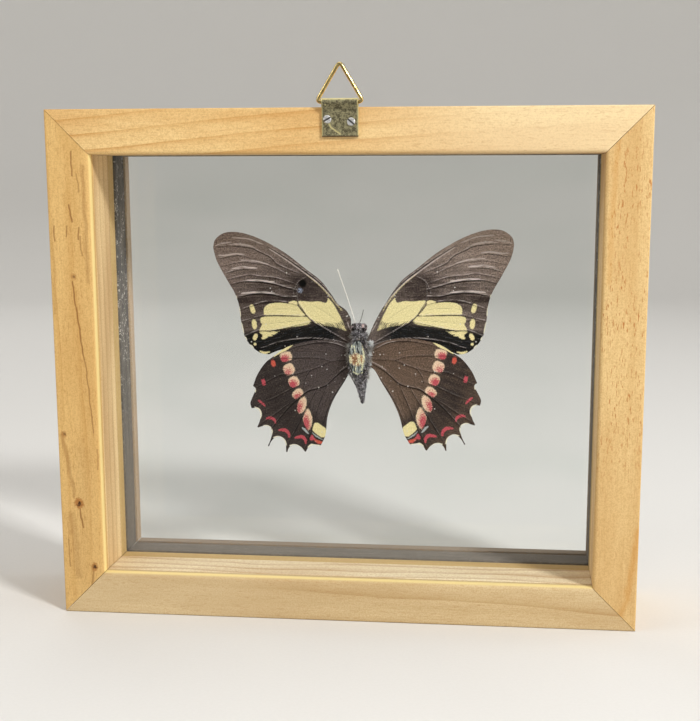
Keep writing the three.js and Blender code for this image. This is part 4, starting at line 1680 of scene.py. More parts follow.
HINDWING_PLAN = WingPlan(
    cream=(INNER_SQUARE, Stroke(((26.8, 6.6), (29.1, 5.3), (31.4, 4.3), (33.9, 2.7)), 1.2, 0.5)),
    spots=HINDWING_SPOTS,
    red=(
        Spot((38.6, -7), 1.4, 2.4, -14), Stroke(((38.8, -16), (39.6, -14.9), (41.1, -13.8)), 0.85),
        Stroke(((35.2, -22.6), (35.6, -21.3), (36.9, -20.5), (38.5, -20.7)), 1.05),
        Stroke(((30.3, -27.9), (30.6, -26.3), (32, -25.3), (34, -25.3)), 1.25),
        Stroke(((24, -30.5), (24.2, -29.1), (25.4, -28), (27.9, -28.3)), 1.25), INNER_FLAME,
    ),
    orange=(Spot((34.4, 0), 1.6, 2.5, -4), Stroke(((17.8, -30.4), (19.2, -30), (20.2, -29.6)), 1.1, 0.3)),
    ash=(
        Stroke(((22.7, -26.8), (23.7, -25.8), (24, -25.3), (25, -24.6)), 0.85),
        Stroke(((17.4, -29.2), (18.3, -28.8), (19.8, -27.8), (21.1, -26.5)), 0.5),
    ),
    rim=(
        Stroke(((42.7, -16.3), (41.2, -17.2), (40.6, -18.9), (40.9, -20.6)), 0.75),
        Stroke(((40, -23.4), (38, -23.8), (36.9, -25.3), (37.3, -27.4)), 0.8),
        Stroke(((36.3, -28), (34.2, -27.9), (32.3, -29.2), (31.6, -31.2)), 0.8),
        Stroke(((30.2, -31.2), (28.1, -31.2), (26.2, -32.2), (25.2, -33.2)), 0.85),
        Stroke(((23.1, -32), (21.9, -31.2), (20.6, -31.5), (18.8, -31.6)), 0.9, 0.2),
        Stroke(((42, -9.2), (42.1, -10.6)), 0.6),
    ),
    veins=(
        Stroke((
            (2.6, -0.8), (4.1, -1.4), (9.1, -4.3), (14.1, -8.7), (17.8, -10), (21.1, -10.7), (23.4, -11.9),
            (30, -17.2), (38, -26),
        ), 0.5),
        Stroke(((14.4, -9.3), (15.8, -12.7), (17.8, -17.3), (19.6, -22)), 0.34),
        Stroke(((18.1, -10.3), (20.4, -14), (22.4, -17.3), (28, -26), (31.6, -32)), 0.34),
        Stroke((
            (5.4, 0), (12.4, -0.3), (17.4, -2.2), (20.4, -3.2), (22.4, -5.7), (23.1, -7.7), (23.4, -10.2),
        ), 0.3),
        Stroke(((12.4, -0.3), (17.4, 1.2), (26.8, 1.6), (33, 1.6), (37, 0.6)), 0.3),
        Stroke(((20.1, -3), (25.8, -4.4), (31.1, -4.5), (34.4, -5.6), (41.6, -9.2)), 0.3),
        Stroke(((23.1, -8), (28, -9.8), (35, -13.2), (43.4, -15.9)), 0.3),
        Stroke(((22.8, -11.4), (27.5, -14.2), (34, -18.6), (41.7, -23.4)), 0.3),
        Stroke(((4.4, -2.8), (8.6, -9), (13, -16), (16.5, -23.8)), 0.36),
        Stroke(((2.4, 1.8), (5.6, 3.9), (10.4, 6.2), (16.4, 6.9), (23.1, 6.1), (28, 4.8)), 0.36),
        Stroke(((19.8, -22.8), (22, -27.2), (24.6, -32.6)), 0.28),
    ),
    folds=(
        Stroke(((8, -2), (14, -4.6), (20.5, -7)), 0.25), Stroke(((30, -6.9), (36, -9.6), (42, -12.6)), 0.25),
        Stroke(((29, -12.4), (35, -16.2), (40, -18.4)), 0.25),
        Stroke(((27.5, -18.5), (32, -24), (34.4, -26.8)), 0.25),
        Stroke(((12.4, -10.4), (15.5, -18), (17.6, -23.5)), 0.25),
        Stroke(((31.5, -1.6), (36, -2.8), (40.6, -5)), 0.25), Stroke(((12, 3), (19, 3.9), (26, 4)), 0.25),
    ),
    gleams=(Stroke(((4, -0.6), (6.5, -1.8), (9.4, -3.7)), 0), Stroke(((6, 4.4), (9.6, 6.3), (13, 7)), 0)),
)

FOREWING_LEADING = [
    (1.8, 6.6), (2.9, 8.6), (4.2, 11.6), (5.8, 15), (8.7, 20), (14.4, 28.3), (20.6, 33.4), (28.3, 39.4),
    (37.2, 44.4), (44.9, 47), (50.8, 47), (54.5, 44.6), (55.4, 41.6),
]
FOREWING_OUTER = [
    (55.4, 41.6), (54.3, 36.9), (51, 30.4), (48, 25), (46.5, 20.5), (46.1, 16.2), (45.1, 10), (42.9, 5.8),
    (39.1, 2.7), (35.6, 2),
]
FOREWING_INNER = [(35.6, 2), (30, 3.9), (20, 4.6), (8, 3.6), (1.8, 3.2)]
HINDWING_LEADING = [
    (1.8, 1.2), (4.4, 3.4), (6.6, 5.7), (10.8, 7.4), (16.4, 8), (23.1, 7.3), (29.1, 5.7), (33.8, 2.8),
    (37.4, 0.3), (40.8, -4), (42.8, -8.3),
]
HINDWING_SHOULDER = [(42.8, -8.3), (41.9, -9.4), (43.4, -12.6), (44.3, -14.6), (44.1, -16.2)]
HINDWING_SCALLOPS = [
    [(39.8, -15.8), (40.2, -20.5), (42.3, -23.7)], [(35.6, -21.6), (36, -26.7), (38.8, -31.2)],
    [(36.3, -26), (30.9, -26.2), (31.9, -33.7)], [(30.3, -29.4), (26.3, -30.8), (24.6, -33.7)],
    [(23.2, -31), (20.5, -30.9), (18.6, -31.7)],
]
TOOTH_WIDTH = 0.5
HINDWING_INNER = [(16.2, -27.6), (14.4, -21), (11.8, -15), (7.8, -8.3), (5, -3.6), (1.8, -2)]


def forewing_outline() -> np.ndarray:
    """The forewing's edge, once round."""
    edges = (FOREWING_LEADING, FOREWING_OUTER, FOREWING_INNER)
    return np.vstack([smooth_path(edge, 10)[1:] for edge in edges])


def hindwing_outline() -> np.ndarray:
    """The hindwing's edge with its scallops, once round.

    Returns:
        The outline's places.
    """
    scallops = []
    start = np.array(HINDWING_SHOULDER[-1])
    for leave, arrive, tip in HINDWING_SCALLOPS:
        ahead = np.array(tip) - start
        start = start + ahead * TOOTH_WIDTH / np.linalg.norm(ahead)
        scallops.append(bezier(start, leave, arrive, tip, 26))
        start = np.array(tip)
    tip = HINDWING_SCALLOPS[-1][-1]
    return np.vstack([
        smooth_path(HINDWING_LEADING, 8)[1:], smooth_path(HINDWING_SHOULDER, 6)[1:], *scallops,
        smooth_path([tip, *HINDWING_INNER], 10)[1:],
    ])


@dataclass
class WingKind:
    """A kind of wing: its outline, its marks, and the thin mesh that both sides share."""

    outline: np.ndarray
    plan: WingPlan
    fore: bool
    spacing: float = 0.36
    margin: float = 0.16
    thickness: float = 0.14
    ridge: float = 0.09

    def sheet(self) -> tuple[np.ndarray, np.ndarray]:
        """Fills the outline with small even triangles.

        Returns:
            The points in the wing's plane, and the triangles.
        """
        low, high = self.outline.min(axis=0), self.outline.max(axis=0)
        row_step = self.spacing * math.sqrt(3) / 2
        rows = np.arange(low[1], high[1], row_step)
        columns = np.arange(low[0], high[0], self.spacing)
        grid = np.array([(u + (i % 2) * self.spacing / 2, v) for i, v in enumerate(rows) for u in columns])
        apart, _ = distance_to_path(grid, np.vstack([self.outline, self.outline[:1]]))
        grid = grid[inside(grid, self.outline) & (apart > self.margin)]
        points = [Vector(p) for p in np.vstack([self.outline, grid])]
        count = len(self.outline)
        edges = [(i, (i + 1) % count) for i in range(count)]
        places, _, triangles, *_ = delaunay_2d_cdt(points, edges, [], 1, 1e-5)
        return np.array([p[:] for p in places]), np.array(triangles)

    def values(self, at: np.ndarray) -> dict[str, np.ndarray]:
        """What the mesh stores for the finish at each point of the plane.

        Args:
            at: The points, N by 2.

        Returns:
            The values by name.
        """
        plan = self.plan
        u, v = at[:, 0], at[:, 1]
        blush = np.zeros(len(at))
        for spot in plan.spots:
            local = spot.local(at) - np.array([0.42, -0.42])
            near = np.clip(1.35 - np.linalg.norm(local, axis=1), 0, 1) * spot.blush * 1.25
            blush = np.maximum(blush, np.where(spot.reach(at) < 1.0, near, 0))
        vein = np.min([stroke.reach(at) + 0.16 for stroke in plan.veins], axis=0)
        above = tuple(
            replace(line, points=tuple((a, b + 0.5) for a, b in line.points)) for line in plan.veins)
        ray = self._fan(at, (-40.0, 25.0), 80.0) if self.fore else self._fan(at, (1.0, 2.0), 26.0)
        orange = np.clip(0.6 - nearest_mark(plan.orange, at), 0, 1)
        red = nearest_mark((*plan.red, *plan.orange), at)
        shared = {
            "cream": nearest_mark(plan.cream, at),
            "spots": nearest_mark(plan.spots, at),
            "blush": blush,
            "red": red,
            "orange": orange,
            "rim": nearest_mark(plan.rim, at),
            "vein": vein,
            "fold": nearest_mark(plan.folds, at) + 0.1,
            "gleam": nearest_mark(plan.gleams, at),
            "flank": nearest_mark(above, at) + 0.16,
            "ash": nearest_mark(plan.ash, at),
            "ray_mm": ray,
            "hair_mm": self._fan(at, (1.0, 1.0), 22.0),
            "flat_mm": np.column_stack([u, v, np.zeros(len(at))]),
        }
        return shared | (self._fore_tones(u, v) if self.fore else self._hind_tones(u, v))

    def _fan(self, at: np.ndarray, origin: Point, spread: float) -> np.ndarray:
        """Coordinates along and across lines that fan out from an origin.

        Args:
            at: The points, N by 2.
            origin: Where the lines start.
            spread: Millimetres to a radian.

        Returns:
            The coordinates.
        """
        away = at - np.array(origin)
        angle = np.arctan2(away[:, 1], away[:, 0])
        return np.column_stack([np.linalg.norm(away, axis=1), angle * spread, np.zeros(len(at))])

    def _fore_tones(self, u: np.ndarray, v: np.ndarray) -> dict[str, np.ndarray]:
        """Ground tones of the forewing: pale at the tip, dark in the cell and black below the band.

        Args:
            u: How far out.
            v: How far up.

        Returns:
            The tones by name.
        """
        tip = smoothstep(22, 46, v + 0.32 * (u - 40))
        cell = smoothstep(12, 2, np.hypot(u - 20, (v - 26) * 1.2))
        edge = smoothstep(1.8, 0.3, np.abs(v - 21.8)) * smoothstep(24, 30, u) * 0.4
        black = smoothstep(14.5, 11.5, v + 0.12 * (u - 20)) * smoothstep(5, 12, u)
        fray = smoothstep(15.5, 12.5, v) * smoothstep(22, 18, u)
        fray += smoothstep(13.0, 11.6, v + 0.1 * (u - 20)) * smoothstep(42, 24, u) * 0.6
        tone = np.clip(0.22 + 0.78 * tip - 0.2 * cell - edge, 0, 1)
        return {"tone": tone, "black": black, "fray": np.clip(fray, 0, 1)}

    def _hind_tones(self, u: np.ndarray, v: np.ndarray) -> dict[str, np.ndarray]:
        """Ground tones of the hindwing: lighter inside the row of spots and dark outside it.

        Args:
            u: How far out.
            v: How far up.

        Returns:
            The tones by name.
        """
        reach = np.hypot(u - 1.0, v - 1.0)
        inner = smoothstep(30, 25, reach)
        margin = smoothstep(36, 44, reach) * 0.3
        none = np.zeros(len(u))
        return {"tone": np.clip(0.12 + 0.75 * inner + margin, 0, 1), "black": none, "fray": none}

    def camber(self, at: np.ndarray) -> np.ndarray:
        """How far the wing bows from its plane, in mm.

        Args:
            at: The points, N by 2.

        Returns:
            The bow.
        """
        u, v = at[:, 0], at[:, 1]
        bow = 0.22 * np.sin(u / 9.0 + 0.4) * np.cos(v / 12.0)
        curl = 0.25 * smoothstep(30, 55, u) if self.fore else -0.2 * smoothstep(-20, -33, v)
        return bow + curl

    def pleats(self, values: dict[str, np.ndarray]) -> np.ndarray:
        """Raises the sheet along veins and sinks it along folds, in mm."""
        crest, trough = (np.exp(-(values[key] / 0.65) ** 2) for key in ("vein", "fold"))
        return 0.09 * trough - 0.15 * crest


@dataclass
class Wing:
    """One wing in its seat."""

    kind: WingKind
    seat: WingSeat
    finish: WingFinish
    midline: np.ndarray
    hole: Point | None = None
    smear: Point | None = None
    folded_edge: bool = False

    def build(self, points: np.ndarray, triangles: np.ndarray, values: dict[str, np.ndarray]) -> None:
        """Makes the wing from its kind's shared sheet.

        Args:
            points: The sheet's points in the plane.
            triangles: The sheet's triangles.
            values: What is stored at each point.
        """
        at = self._tucked(points)
        ridge = self.kind.ridge * smoothstep(0.3, 0.0, values["vein"])
        bow = self.kind.camber(points) + self.kind.pleats(values)
        half = self.kind.thickness / 2
        under = self.seat.place(at[:, 0], bow - half - ridge, at[:, 1], self.midline)
        upper = self.seat.place(at[:, 0], bow + half + 0.5 * ridge, at[:, 1], self.midline)
        count = len(points)
        faces = [tuple(t) for t in triangles] + [(b + count, a + count, c + count) for a, b, c in triangles]
        faces += self._rim(triangles, count)
        places = np.vstack([under, upper])
        wing = make_piece(
            f"{self.seat.node}_scaled", places, faces, self.finish.material(),
            (self.seat.node,), smooth_below=60.0)
        for name, stored in values.items():
            store(wing, name, np.concatenate([stored, stored]))
        store(wing, "dorsal", np.repeat([0.0, 1.0], count))
        for name, spot, radius in (("hole", self.hole, 1.75), ("smear", self.smear, 1.15)):
            apart = np.full(count, FAR) if spot is None else np.hypot(*(points - spot).T)
            store(wing, name, np.tile(smoothstep(radius, 0.6 * radius, apart), 2))

    def _tucked(self, points: np.ndarray) -> np.ndarray:
        """Moves the inner edge in by the seat's tuck, and bulges a folded leading edge.

        Args:
            points: The sheet's points.

        Returns:
            The points as they lie in this wing.
        """
        at = points.copy()
        if self.seat.tuck:
            apart, _ = distance_to_path(points, smooth_path([(18.6, -31.7), *HINDWING_INNER], 6))
            near = 1 - smoothstep(0.0, 14.0, apart)
            at[:, 0] += self.seat.tuck * near * np.sin(np.pi * smoothstep(-33.0, 1.0, points[:, 1]))
        if self.folded_edge:
            near = 1 - smoothstep(0.0, 1.6, distance_to_path(points, smooth_path(FOREWING_LEADING, 6))[0])
            swell = smoothstep(11.5, 15.0, points[:, 1]) * smoothstep(21.0, 17.0, points[:, 1])
            at += (near * swell * 1.5)[:, None] * np.array([-0.9, 0.42])
        return at

    def _rim(self, triangles: np.ndarray, count: int) -> Faces:
        """Closes the gap between the two sheets along the wing's edge."""
        edges = {(int(t[i]), int(t[(i + 1) % 3])) for t in triangles for i in range(3)}
        return [(b, a, a + count, b + count) for a, b in edges if (b, a) not in edges]


# --- Butterfly ---


def ellipsoid(
    size: tuple[float, float, float], centre: tuple[float, float, float], rings: int = 24,
) -> tuple[np.ndarray, Faces]:
    """A ball stretched to a width, depth and height.

    Args:
        size: Its width, depth and height.
        centre: Its middle.
        rings: Steps from pole to pole.

    Returns:
        The vertices and the faces.
    """
    polar = np.linspace(0, math.pi, rings + 1)[1:-1]
    turn = np.linspace(0, 2 * math.pi, 2 * rings, endpoint=False)
    x = np.outer(np.sin(polar), np.cos(turn))
    y = np.outer(np.sin(polar), np.sin(turn))
    z = np.outer(np.cos(polar), np.ones(len(turn)))
    body = np.stack([x, y, z], axis=-1) / 2 * np.array(size) + np.array(centre)
    return sweep(body)


def remeshed(parts: list[tuple[np.ndarray, Faces]], voxel: float) -> tuple[np.ndarray, Faces]:
    """Fuses overlapping closed meshes into one skin of small even faces.

    Args:
        parts: The meshes, in mm.
        voxel: The size of the skin's faces, in mm.

    Returns:
        The skin's vertices in mm, and its faces.
    """
    places, faces = join_parts(parts)
    mesh = bpy.data.meshes.new("fused")
    mesh.from_pydata((places * MM).tolist(), [], faces)
    holder = bpy.data.objects.new("fused", mesh)
    bpy.context.scene.collection.objects.link(holder)
    skin = holder.modifiers.new("skin", "REMESH")
    skin.mode = "VOXEL"
    skin.voxel_size = voxel * MM
    relax = holder.modifiers.new("relax", "SMOOTH")
    relax.factor = 0.5
    relax.iterations = 3
    bpy.context.view_layer.update()
    made = bpy.data.meshes.new_from_object(holder.evaluated_get(bpy.context.evaluated_depsgraph_get()))
    out = np.zeros(len(made.vertices) * 3, np.float32)
    made.vertices.foreach_get("co", out)
    found = [tuple(p.vertices) for p in made.polygons]
    bpy.data.objects.remove(holder)
    bpy.data.meshes.remove(made)
    return out.reshape(-1, 3).astype(float) / MM, found


@dataclass
class HairCoat:
    """Many short tapering hairs rooted on a skin."""

    name: str
    finish: HairFinish
    length: tuple[float, float]
    root_radius: float = 0.05
    droop: float = 0.35
    seed: int = 1
    rarity: float = 1.0
    clumping: float = 0.0

    def build(self, roots: np.ndarray, leans: np.ndarray) -> None:
        """Grows one hair from each root.

        Args:
            roots: Where the hairs stand, in mm.
            leans: The direction of each hair.
        """
        draw = np.random.default_rng(self.seed)
        count = len(roots)
        leans = leans + draw.normal(0, 0.28, leans.shape)
        leans /= np.linalg.norm(leans, axis=1)[:, None]
        length = draw.uniform(*self.length, count)[:, None]
        across = np.cross(leans, draw.normal(0, 1, leans.shape))
        across /= np.linalg.norm(across, axis=1)[:, None]
        third = np.cross(leans, across)
        bend = across * draw.normal(0, self.droop, (count, 1)) * length
        stations = ((0.0, 1.0), (0.5, 0.7), (1.0, 0.12))
        rings = []
        for share, thick in stations:
            centre = roots + leans * length * share + bend * share**2
            for angle in (0.0, 2.094, 4.189):
                side = across * math.cos(angle) + third * math.sin(angle)
                rings.append(centre + side * self.root_radius * thick)
        places = np.stack(rings, axis=1).reshape(-1, 3)
        pattern = [(2, 1, 0), (6, 7, 8)]
        for base in (0, 3):
            pattern += [
                (base + j, base + (j + 1) % 3, base + 3 + (j + 1) % 3, base + 3 + j) for j in range(3)]
        faces = [tuple(9 * i + k for k in face) for i in range(count) for face in pattern]
        coat = make_piece(self.name, places, faces, self.finish.material(), smooth_below=80.0)
        clumps = np.array([noise.noise(Vector(root) * 1.4) for root in roots])
        shade = draw.uniform(0, 1, count) ** self.rarity
        shade = shade * (1 - self.clumping) + self.clumping * smoothstep(0.0, 0.32, clumps)
        store(coat, "shade", np.repeat(shade, 9))


@dataclass
class Butterfly:
    """The specimen: wings, body, legs, antennae and the glue under its thorax."""

    midline: np.ndarray = field(default_factory=lambda: np.array([2.1, BACK + 34.8, FRAME_HEIGHT / 2]))
    body_shift: float = -0.4
    glue_thickness: float = 0.5

    def build(self) -> None:
        """Makes the whole specimen."""
        self._wings()
        self._body()
        self._antennae()
        self._glue()

    def _wings(self) -> None:
        """Lays the four wings in their seats, the hindwings in front."""
        fore = WingKind(forewing_outline(), FOREWING_PLAN, True)
        hind = WingKind(hindwing_outline(), HINDWING_PLAN, False)
        fore_right = {"dark": srgb("3e3430"), "pale": srgb("a9978e"), "flank_highlight": 0.7}
        fore_left = {"dark": srgb("3a302d"), "pale": srgb("8f7f78"), "flank_highlight": 0.7}
        seats = {
            "forewing_right": (fore, WingSeat("forewing_right", 1, 0.0, 0.0, 4.0, 0.9), fore_right),
            "forewing_left": (fore, WingSeat("forewing_left", -1, -1.33, -1.0, 4.0, 0.9), fore_left),
            "hindwing_right": (hind, WingSeat("hindwing_right", 1, 0.0, 0.0, 3.2, 0.1),
                               {"dark": srgb("352d2a"), "pale": srgb("6b5749"), "flank_highlight": 0.12}),
            "hindwing_left": (hind, WingSeat("hindwing_left", -1, -3.25, -1.6, 3.2, 0.1, 1.1),
                              {"dark": srgb("342d2b"), "pale": srgb("514745"), "flank_highlight": 0.12}),
        }
        sheets = {id(kind): kind.sheet() for kind in (fore, hind)}
        stored = {id(kind): kind.values(sheets[id(kind)][0]) for kind in (fore, hind)}
        for name, (kind, seat, tones) in seats.items():
            left_fore = name == "forewing_left"
            wing = Wing(kind, seat, WingFinish(f"scales_{name}", **tones), self.midline,
                        hole=(21.9, 28.1) if left_fore else None, smear=(22.9, 25.6) if left_fore else None,
                        folded_edge=left_fore)
            wing.build(*sheets[id(kind)], stored[id(kind)])

    def _abdomen(self) -> tuple[np.ndarray, Faces]:
        """A tapering cone of overlapping rings.

        Returns:
            The vertices and the faces.
        """
        length, rings = 10.8, 6
        profile = [(0.02, 1.5), (2.4, 1.0)]
        for i in range(rings):
            radius = 2.65 * (1 - i / (rings + 0.45)) ** 0.85
            top = -i * length / rings
            waist = top - length / rings + 0.12
            profile += [(radius, top - 0.3), (radius * 0.96, top - 1.2), (radius * 0.78, waist)]
        profile += [(0.3, -length), (0.05, -length - 0.25)]
        angles = np.linspace(0, 2 * math.pi, 40, endpoint=False)
        lean = math.tan(math.radians(-4.5))
        x, y = np.cos(angles), np.sin(angles)
        sections = [np.column_stack([0.3 + r * x + lean * z, 0.3 + r * y, np.full(40, z - 5.2)])
                    for r, z in profile]
        return sweep(np.array(sections))

    def _legs(self) -> list[tuple[np.ndarray, Faces]]:
        """Three pairs of jointed legs folded against the thorax.

        Returns:
            Vertices and faces of each joint's tube.
        """
        bends = (
            ((1.6, -2.4, 5.6), (3.6, -2.6, 2.6), (2.2, -3.2, 7.6), (1.2, -3.4, 9.4)),
            ((1.9, -2.9, 2.4), (4.0, -2.5, -1.6), (2.4, -3.3, -4.4), (1.4, -3.5, -6.2)),
            ((1.6, -2.8, -1.0), (3.3, -2.6, -4.6), (1.8, -3.0, -7.4), (1.0, -3.2, -9.0)),
        )
        tapers = ((0.42, 0.3), (0.3, 0.17), (0.18, 0.12))
        legs = []
        for side in (-1, 1):
            for points in bends:
                mirrored = [np.array([side * x, y, z]) for x, y, z in points]
                for start, end, (thick, thin) in zip(mirrored, mirrored[1:], tapers):
                    share = np.linspace(0, 1, 12)
                    swell = 1 + 0.25 * np.sin(share * math.pi)
                    radii = (thick + (thin - thick) * share) * swell
                    legs.append(tube(start + (end - start) * share[:, None], radii, 10))
        return legs

    def _trunk(self) -> list[tuple[np.ndarray, Faces]]:
        """Thorax, collar, head, palps and abdomen.

        Returns:
            Vertices and faces of each part.
        """
        parts = [
            ellipsoid((7.6, 8.2, 14.0), (0, 0, 1.4)), ellipsoid((5.2, 5.6, 4.6), (0, -0.3, 8.6)),
            ellipsoid((4.6, 4.2, 3.8), (0, -0.4, 11.7)), self._abdomen(),
        ]
        for side in (-1, 1):
            palp = np.array([[side * 0.5, -1.6, 11.0], [side * 0.62, -2.3, 12.4], [side * 0.7, -2.2, 13.7]])
            line = smooth_path([tuple(p) for p in palp], 6)
            parts.append(tube(line, np.linspace(0.6, 0.28, len(line)), 12))
            parts.append(ellipsoid((1.6, 2.6, 3.4), (side * 3.4, 0.6, 4.6)))
        return parts

    def _body(self) -> None:
        """Fuses the trunk, roughens it, and adds eyes, legs and hair."""
        places, faces = remeshed(self._trunk(), 0.17)
        rough = np.array([noise.fractal(Vector(p) * 1.1, 1.0, 2.0, 4) for p in places])
        thorax = smoothstep(-6.0, -4.0, places[:, 2]) * smoothstep(11.0, 9.5, places[:, 2])
        centre = np.column_stack([np.zeros(len(places)), np.zeros(len(places)), places[:, 2]])
        away = places - centre
        away /= np.maximum(np.linalg.norm(away, axis=1), 0.2)[:, None]
        places = places + away * (rough * (0.1 + 0.22 * thorax))[:, None]
        flat = self._glue_face() + 0.12
        places[:, 1] = np.maximum(places[:, 1], flat)
        belly = smoothstep(-2.2, -3.4, places[:, 1]) * smoothstep(-6.5, -4.5, places[:, 2])
        belly *= smoothstep(9.0, 6.5, places[:, 2])
        shift = self.midline + np.array([self.body_shift, 0, 0])
        skin = make_piece(
            "body_skin", places + shift, faces, BodyFinish().material(), ("body",),
            smooth_below=70.0)
        store(skin, "belly", belly)
        legs, leg_faces = join_parts(self._legs())
        cuticle = BodyFinish("leg_cuticle", srgb("2b2622"), srgb("6a645e")).material()
        make_piece("legs_folded", legs + shift, leg_faces, cuticle)
        self._eyes(shift)
        self._hair(places, shift, flat)

    def _eyes(self, shift: np.ndarray) -> None:
        """Two round compound eyes.

        Args:
            shift: Where the body's middle is.
        """
        eyes = [ellipsoid((2.6, 3.0, 3.2), (side * 1.75, -0.7, 12.0), 20) for side in (-1, 1)]
        places, faces = join_parts(eyes)
        make_piece("eyes", places + shift, faces, EyeFinish().material())

    def _hair(self, skin: np.ndarray, shift: np.ndarray, flat: float) -> None:
        """Grows a grey coat on thorax and abdomen, pale tufts at the sides and a ruff behind the head.

        Args:
            skin: The skin's vertices, from the body's middle.
            shift: Where the body's middle is.
            flat: The glue's free face, as a Y from the body's middle.
        """
        draw = np.random.default_rng(7)
        outward = skin * [1.0, 1.0, 0.12]
        outward /= np.maximum(np.linalg.norm(outward, axis=1), 0.2)[:, None]
        free = skin[:, 1] > flat + 0.3
        on_thorax = free & (skin[:, 2] > -6.5) & (skin[:, 2] < 10.5)
        on_abdomen = skin[:, 2] <= -6.0
        grey = HairFinish("grey_hair", srgb("1f1c1c"), srgb("d6d2d6"))
        tawny = HairFinish("tawny_hair", srgb("4b3f33"), srgb("8e7d68"))
        pale = HairFinish("pale_hair", srgb("8f8a86"), srgb("e2ddd2"))
        down = np.array([0.0, 0.0, -0.75])
        side = on_thorax & (np.abs(skin[:, 0]) > 2.4) & (skin[:, 1] < 1.5)
        for name, where, count, finish, length, lean in (
            ("thorax_hair", on_thorax, 4200, grey, (0.5, 1.3), down),
            ("back_hair", on_thorax & (skin[:, 1] > 0.5), 2600, tawny, (0.8, 1.9), down),
            ("side_tufts", side, 900, pale, (0.8, 1.7), down * 0.5),
            ("abdomen_hair", on_abdomen, 2600, grey, (0.25, 0.6), down * 1.6),
            ("ruff", free & (skin[:, 2] > 9.0) & (skin[:, 2] < 11.5), 700, grey, (0.5, 1.2), -down * 0.6),
        ):
            chosen = draw.choice(np.flatnonzero(where), count)
            coat = HairCoat(name, finish, length, seed=count, rarity=2.6, clumping=0.65)
            coat.build(skin[chosen] + shift, outward[chosen] + lean)
        self._fluff(shift, draw)

    def _fluff(self, shift: np.ndarray, draw: np.random.Generator) -> None:
        """Puffs of bluish white fluff where the wings join the thorax.

        Args:
            shift: Where the body's middle is.
            draw: The source of random numbers.
        """
        puffs = (((4.4, -0.6, 6.3), 0.75, 240), ((3.9, -1.0, 2.4), 0.8, 180), ((4.0, -0.8, -1.4), 0.5, 130),
                 ((-3.7, -0.8, 5.2), 0.6, 60), ((-3.6, -1.0, -5.4), 0.6, 60))
        roots = np.vstack(
            [np.array(place) + draw.normal(0, size / 2, (count, 3)) for place, size, count in puffs])
        leans = draw.normal(0, 1, roots.shape) + np.array([0.3, -0.6, 0.1])
        white = HairFinish("white_fluff", srgb("b0bccb"), srgb("ffffff"))
        HairCoat("root_fluff", white, (0.3, 0.8), 0.06, 0.6, 5, rarity=0.3).build(roots + shift, leans)

    def _antennae(self) -> None:
        """A whole thin stalk on the left, and the stub of a broken one on the right."""
        horn = HairFinish("antenna_horn", srgb("4a4541"), srgb("efebe4"))
        for node, start, end, thick in (
            ("antenna_left", (-1.75, -0.2, 13.6), (-8.45, 1.2, 33.0), 0.17),
            ("antenna_right", (-0.2, -0.2, 13.6), (1.1, 0.6, 18.4), 0.14),
        ):
            share = np.linspace(0, 1, 150 if node == "antenna_left" else 50)
            line = np.array(start) + np.subtract(end, start) * share[:, None]
            line[:, 0] += 0.12 * np.sin(share * math.pi)
            rings = 1 + 0.1 * np.sin(share * len(share) * 1.3)
            club = 1 + 0.35 * smoothstep(0.8, 0.97, share) * (node == "antenna_left")
            tip = np.sqrt(np.clip((1.004 - share) * 60, 0.05, 1))
            places, faces = tube(line + self.midline, thick * rings * club * tip, 10)
            stalk = make_piece(f"{node}_stalk", places, faces, horn.material(), (node,))
            shade = 0.95 if node == "antenna_left" else 0.05
            store(stalk, "shade", np.full(len(places), shade))

    def _glue_face(self) -> float:
        """The glue's free face, as a Y from the midline."""
        pane = BACK + STOP_END + SEAT_GAP + PANE_THICKNESS
        return pane + SEAT_GAP + self.glue_thickness - self.midline[1]

    def _glue(self) -> None:
        """An uneven smear of glue pressed against the back pane."""
        face = self._glue_face()
        rings, spokes = 26, 90
        turn = np.linspace(0, 2 * math.pi, spokes, endpoint=False)
        edge = np.array([
            1 + 0.2 * noise.noise(Vector((math.cos(t) * 1.7, math.sin(t) * 1.7, 4.2)))
            + 0.08 * noise.noise(Vector((math.cos(t) * 6, math.sin(t) * 6, 1.0))) for t in turn])
        front, back = [], []
        for share in np.linspace(0, 1, rings):
            x = -0.75 + 3.0 * share * edge * np.cos(turn)
            z = 1.1 + 6.4 * share * edge * np.sin(turn)
            crown = math.sqrt(max(0.0, 1 - share**2))
            lump = np.array([noise.fractal(Vector((a, b, 2.0)) * 0.9, 1.0, 2.0, 3) for a, b in zip(x, z)])
            press = -self.glue_thickness * (0.35 + 0.65 * crown) * np.clip(0.8 + 0.5 * lump, 0.2, 1.0)
            front.append(np.column_stack([x, face + press, z]))
            back.append(np.column_stack([x, np.full(spokes, face + 0.25 * crown), z]))
        places, faces = sweep(np.array([*back, *reversed(front)]) + self.midline)
        glue = GlueFinish().material()
        make_piece("glue_smear", places, faces, glue, ("glue_spot",), smooth_below=80.0)


# --- Studio ---


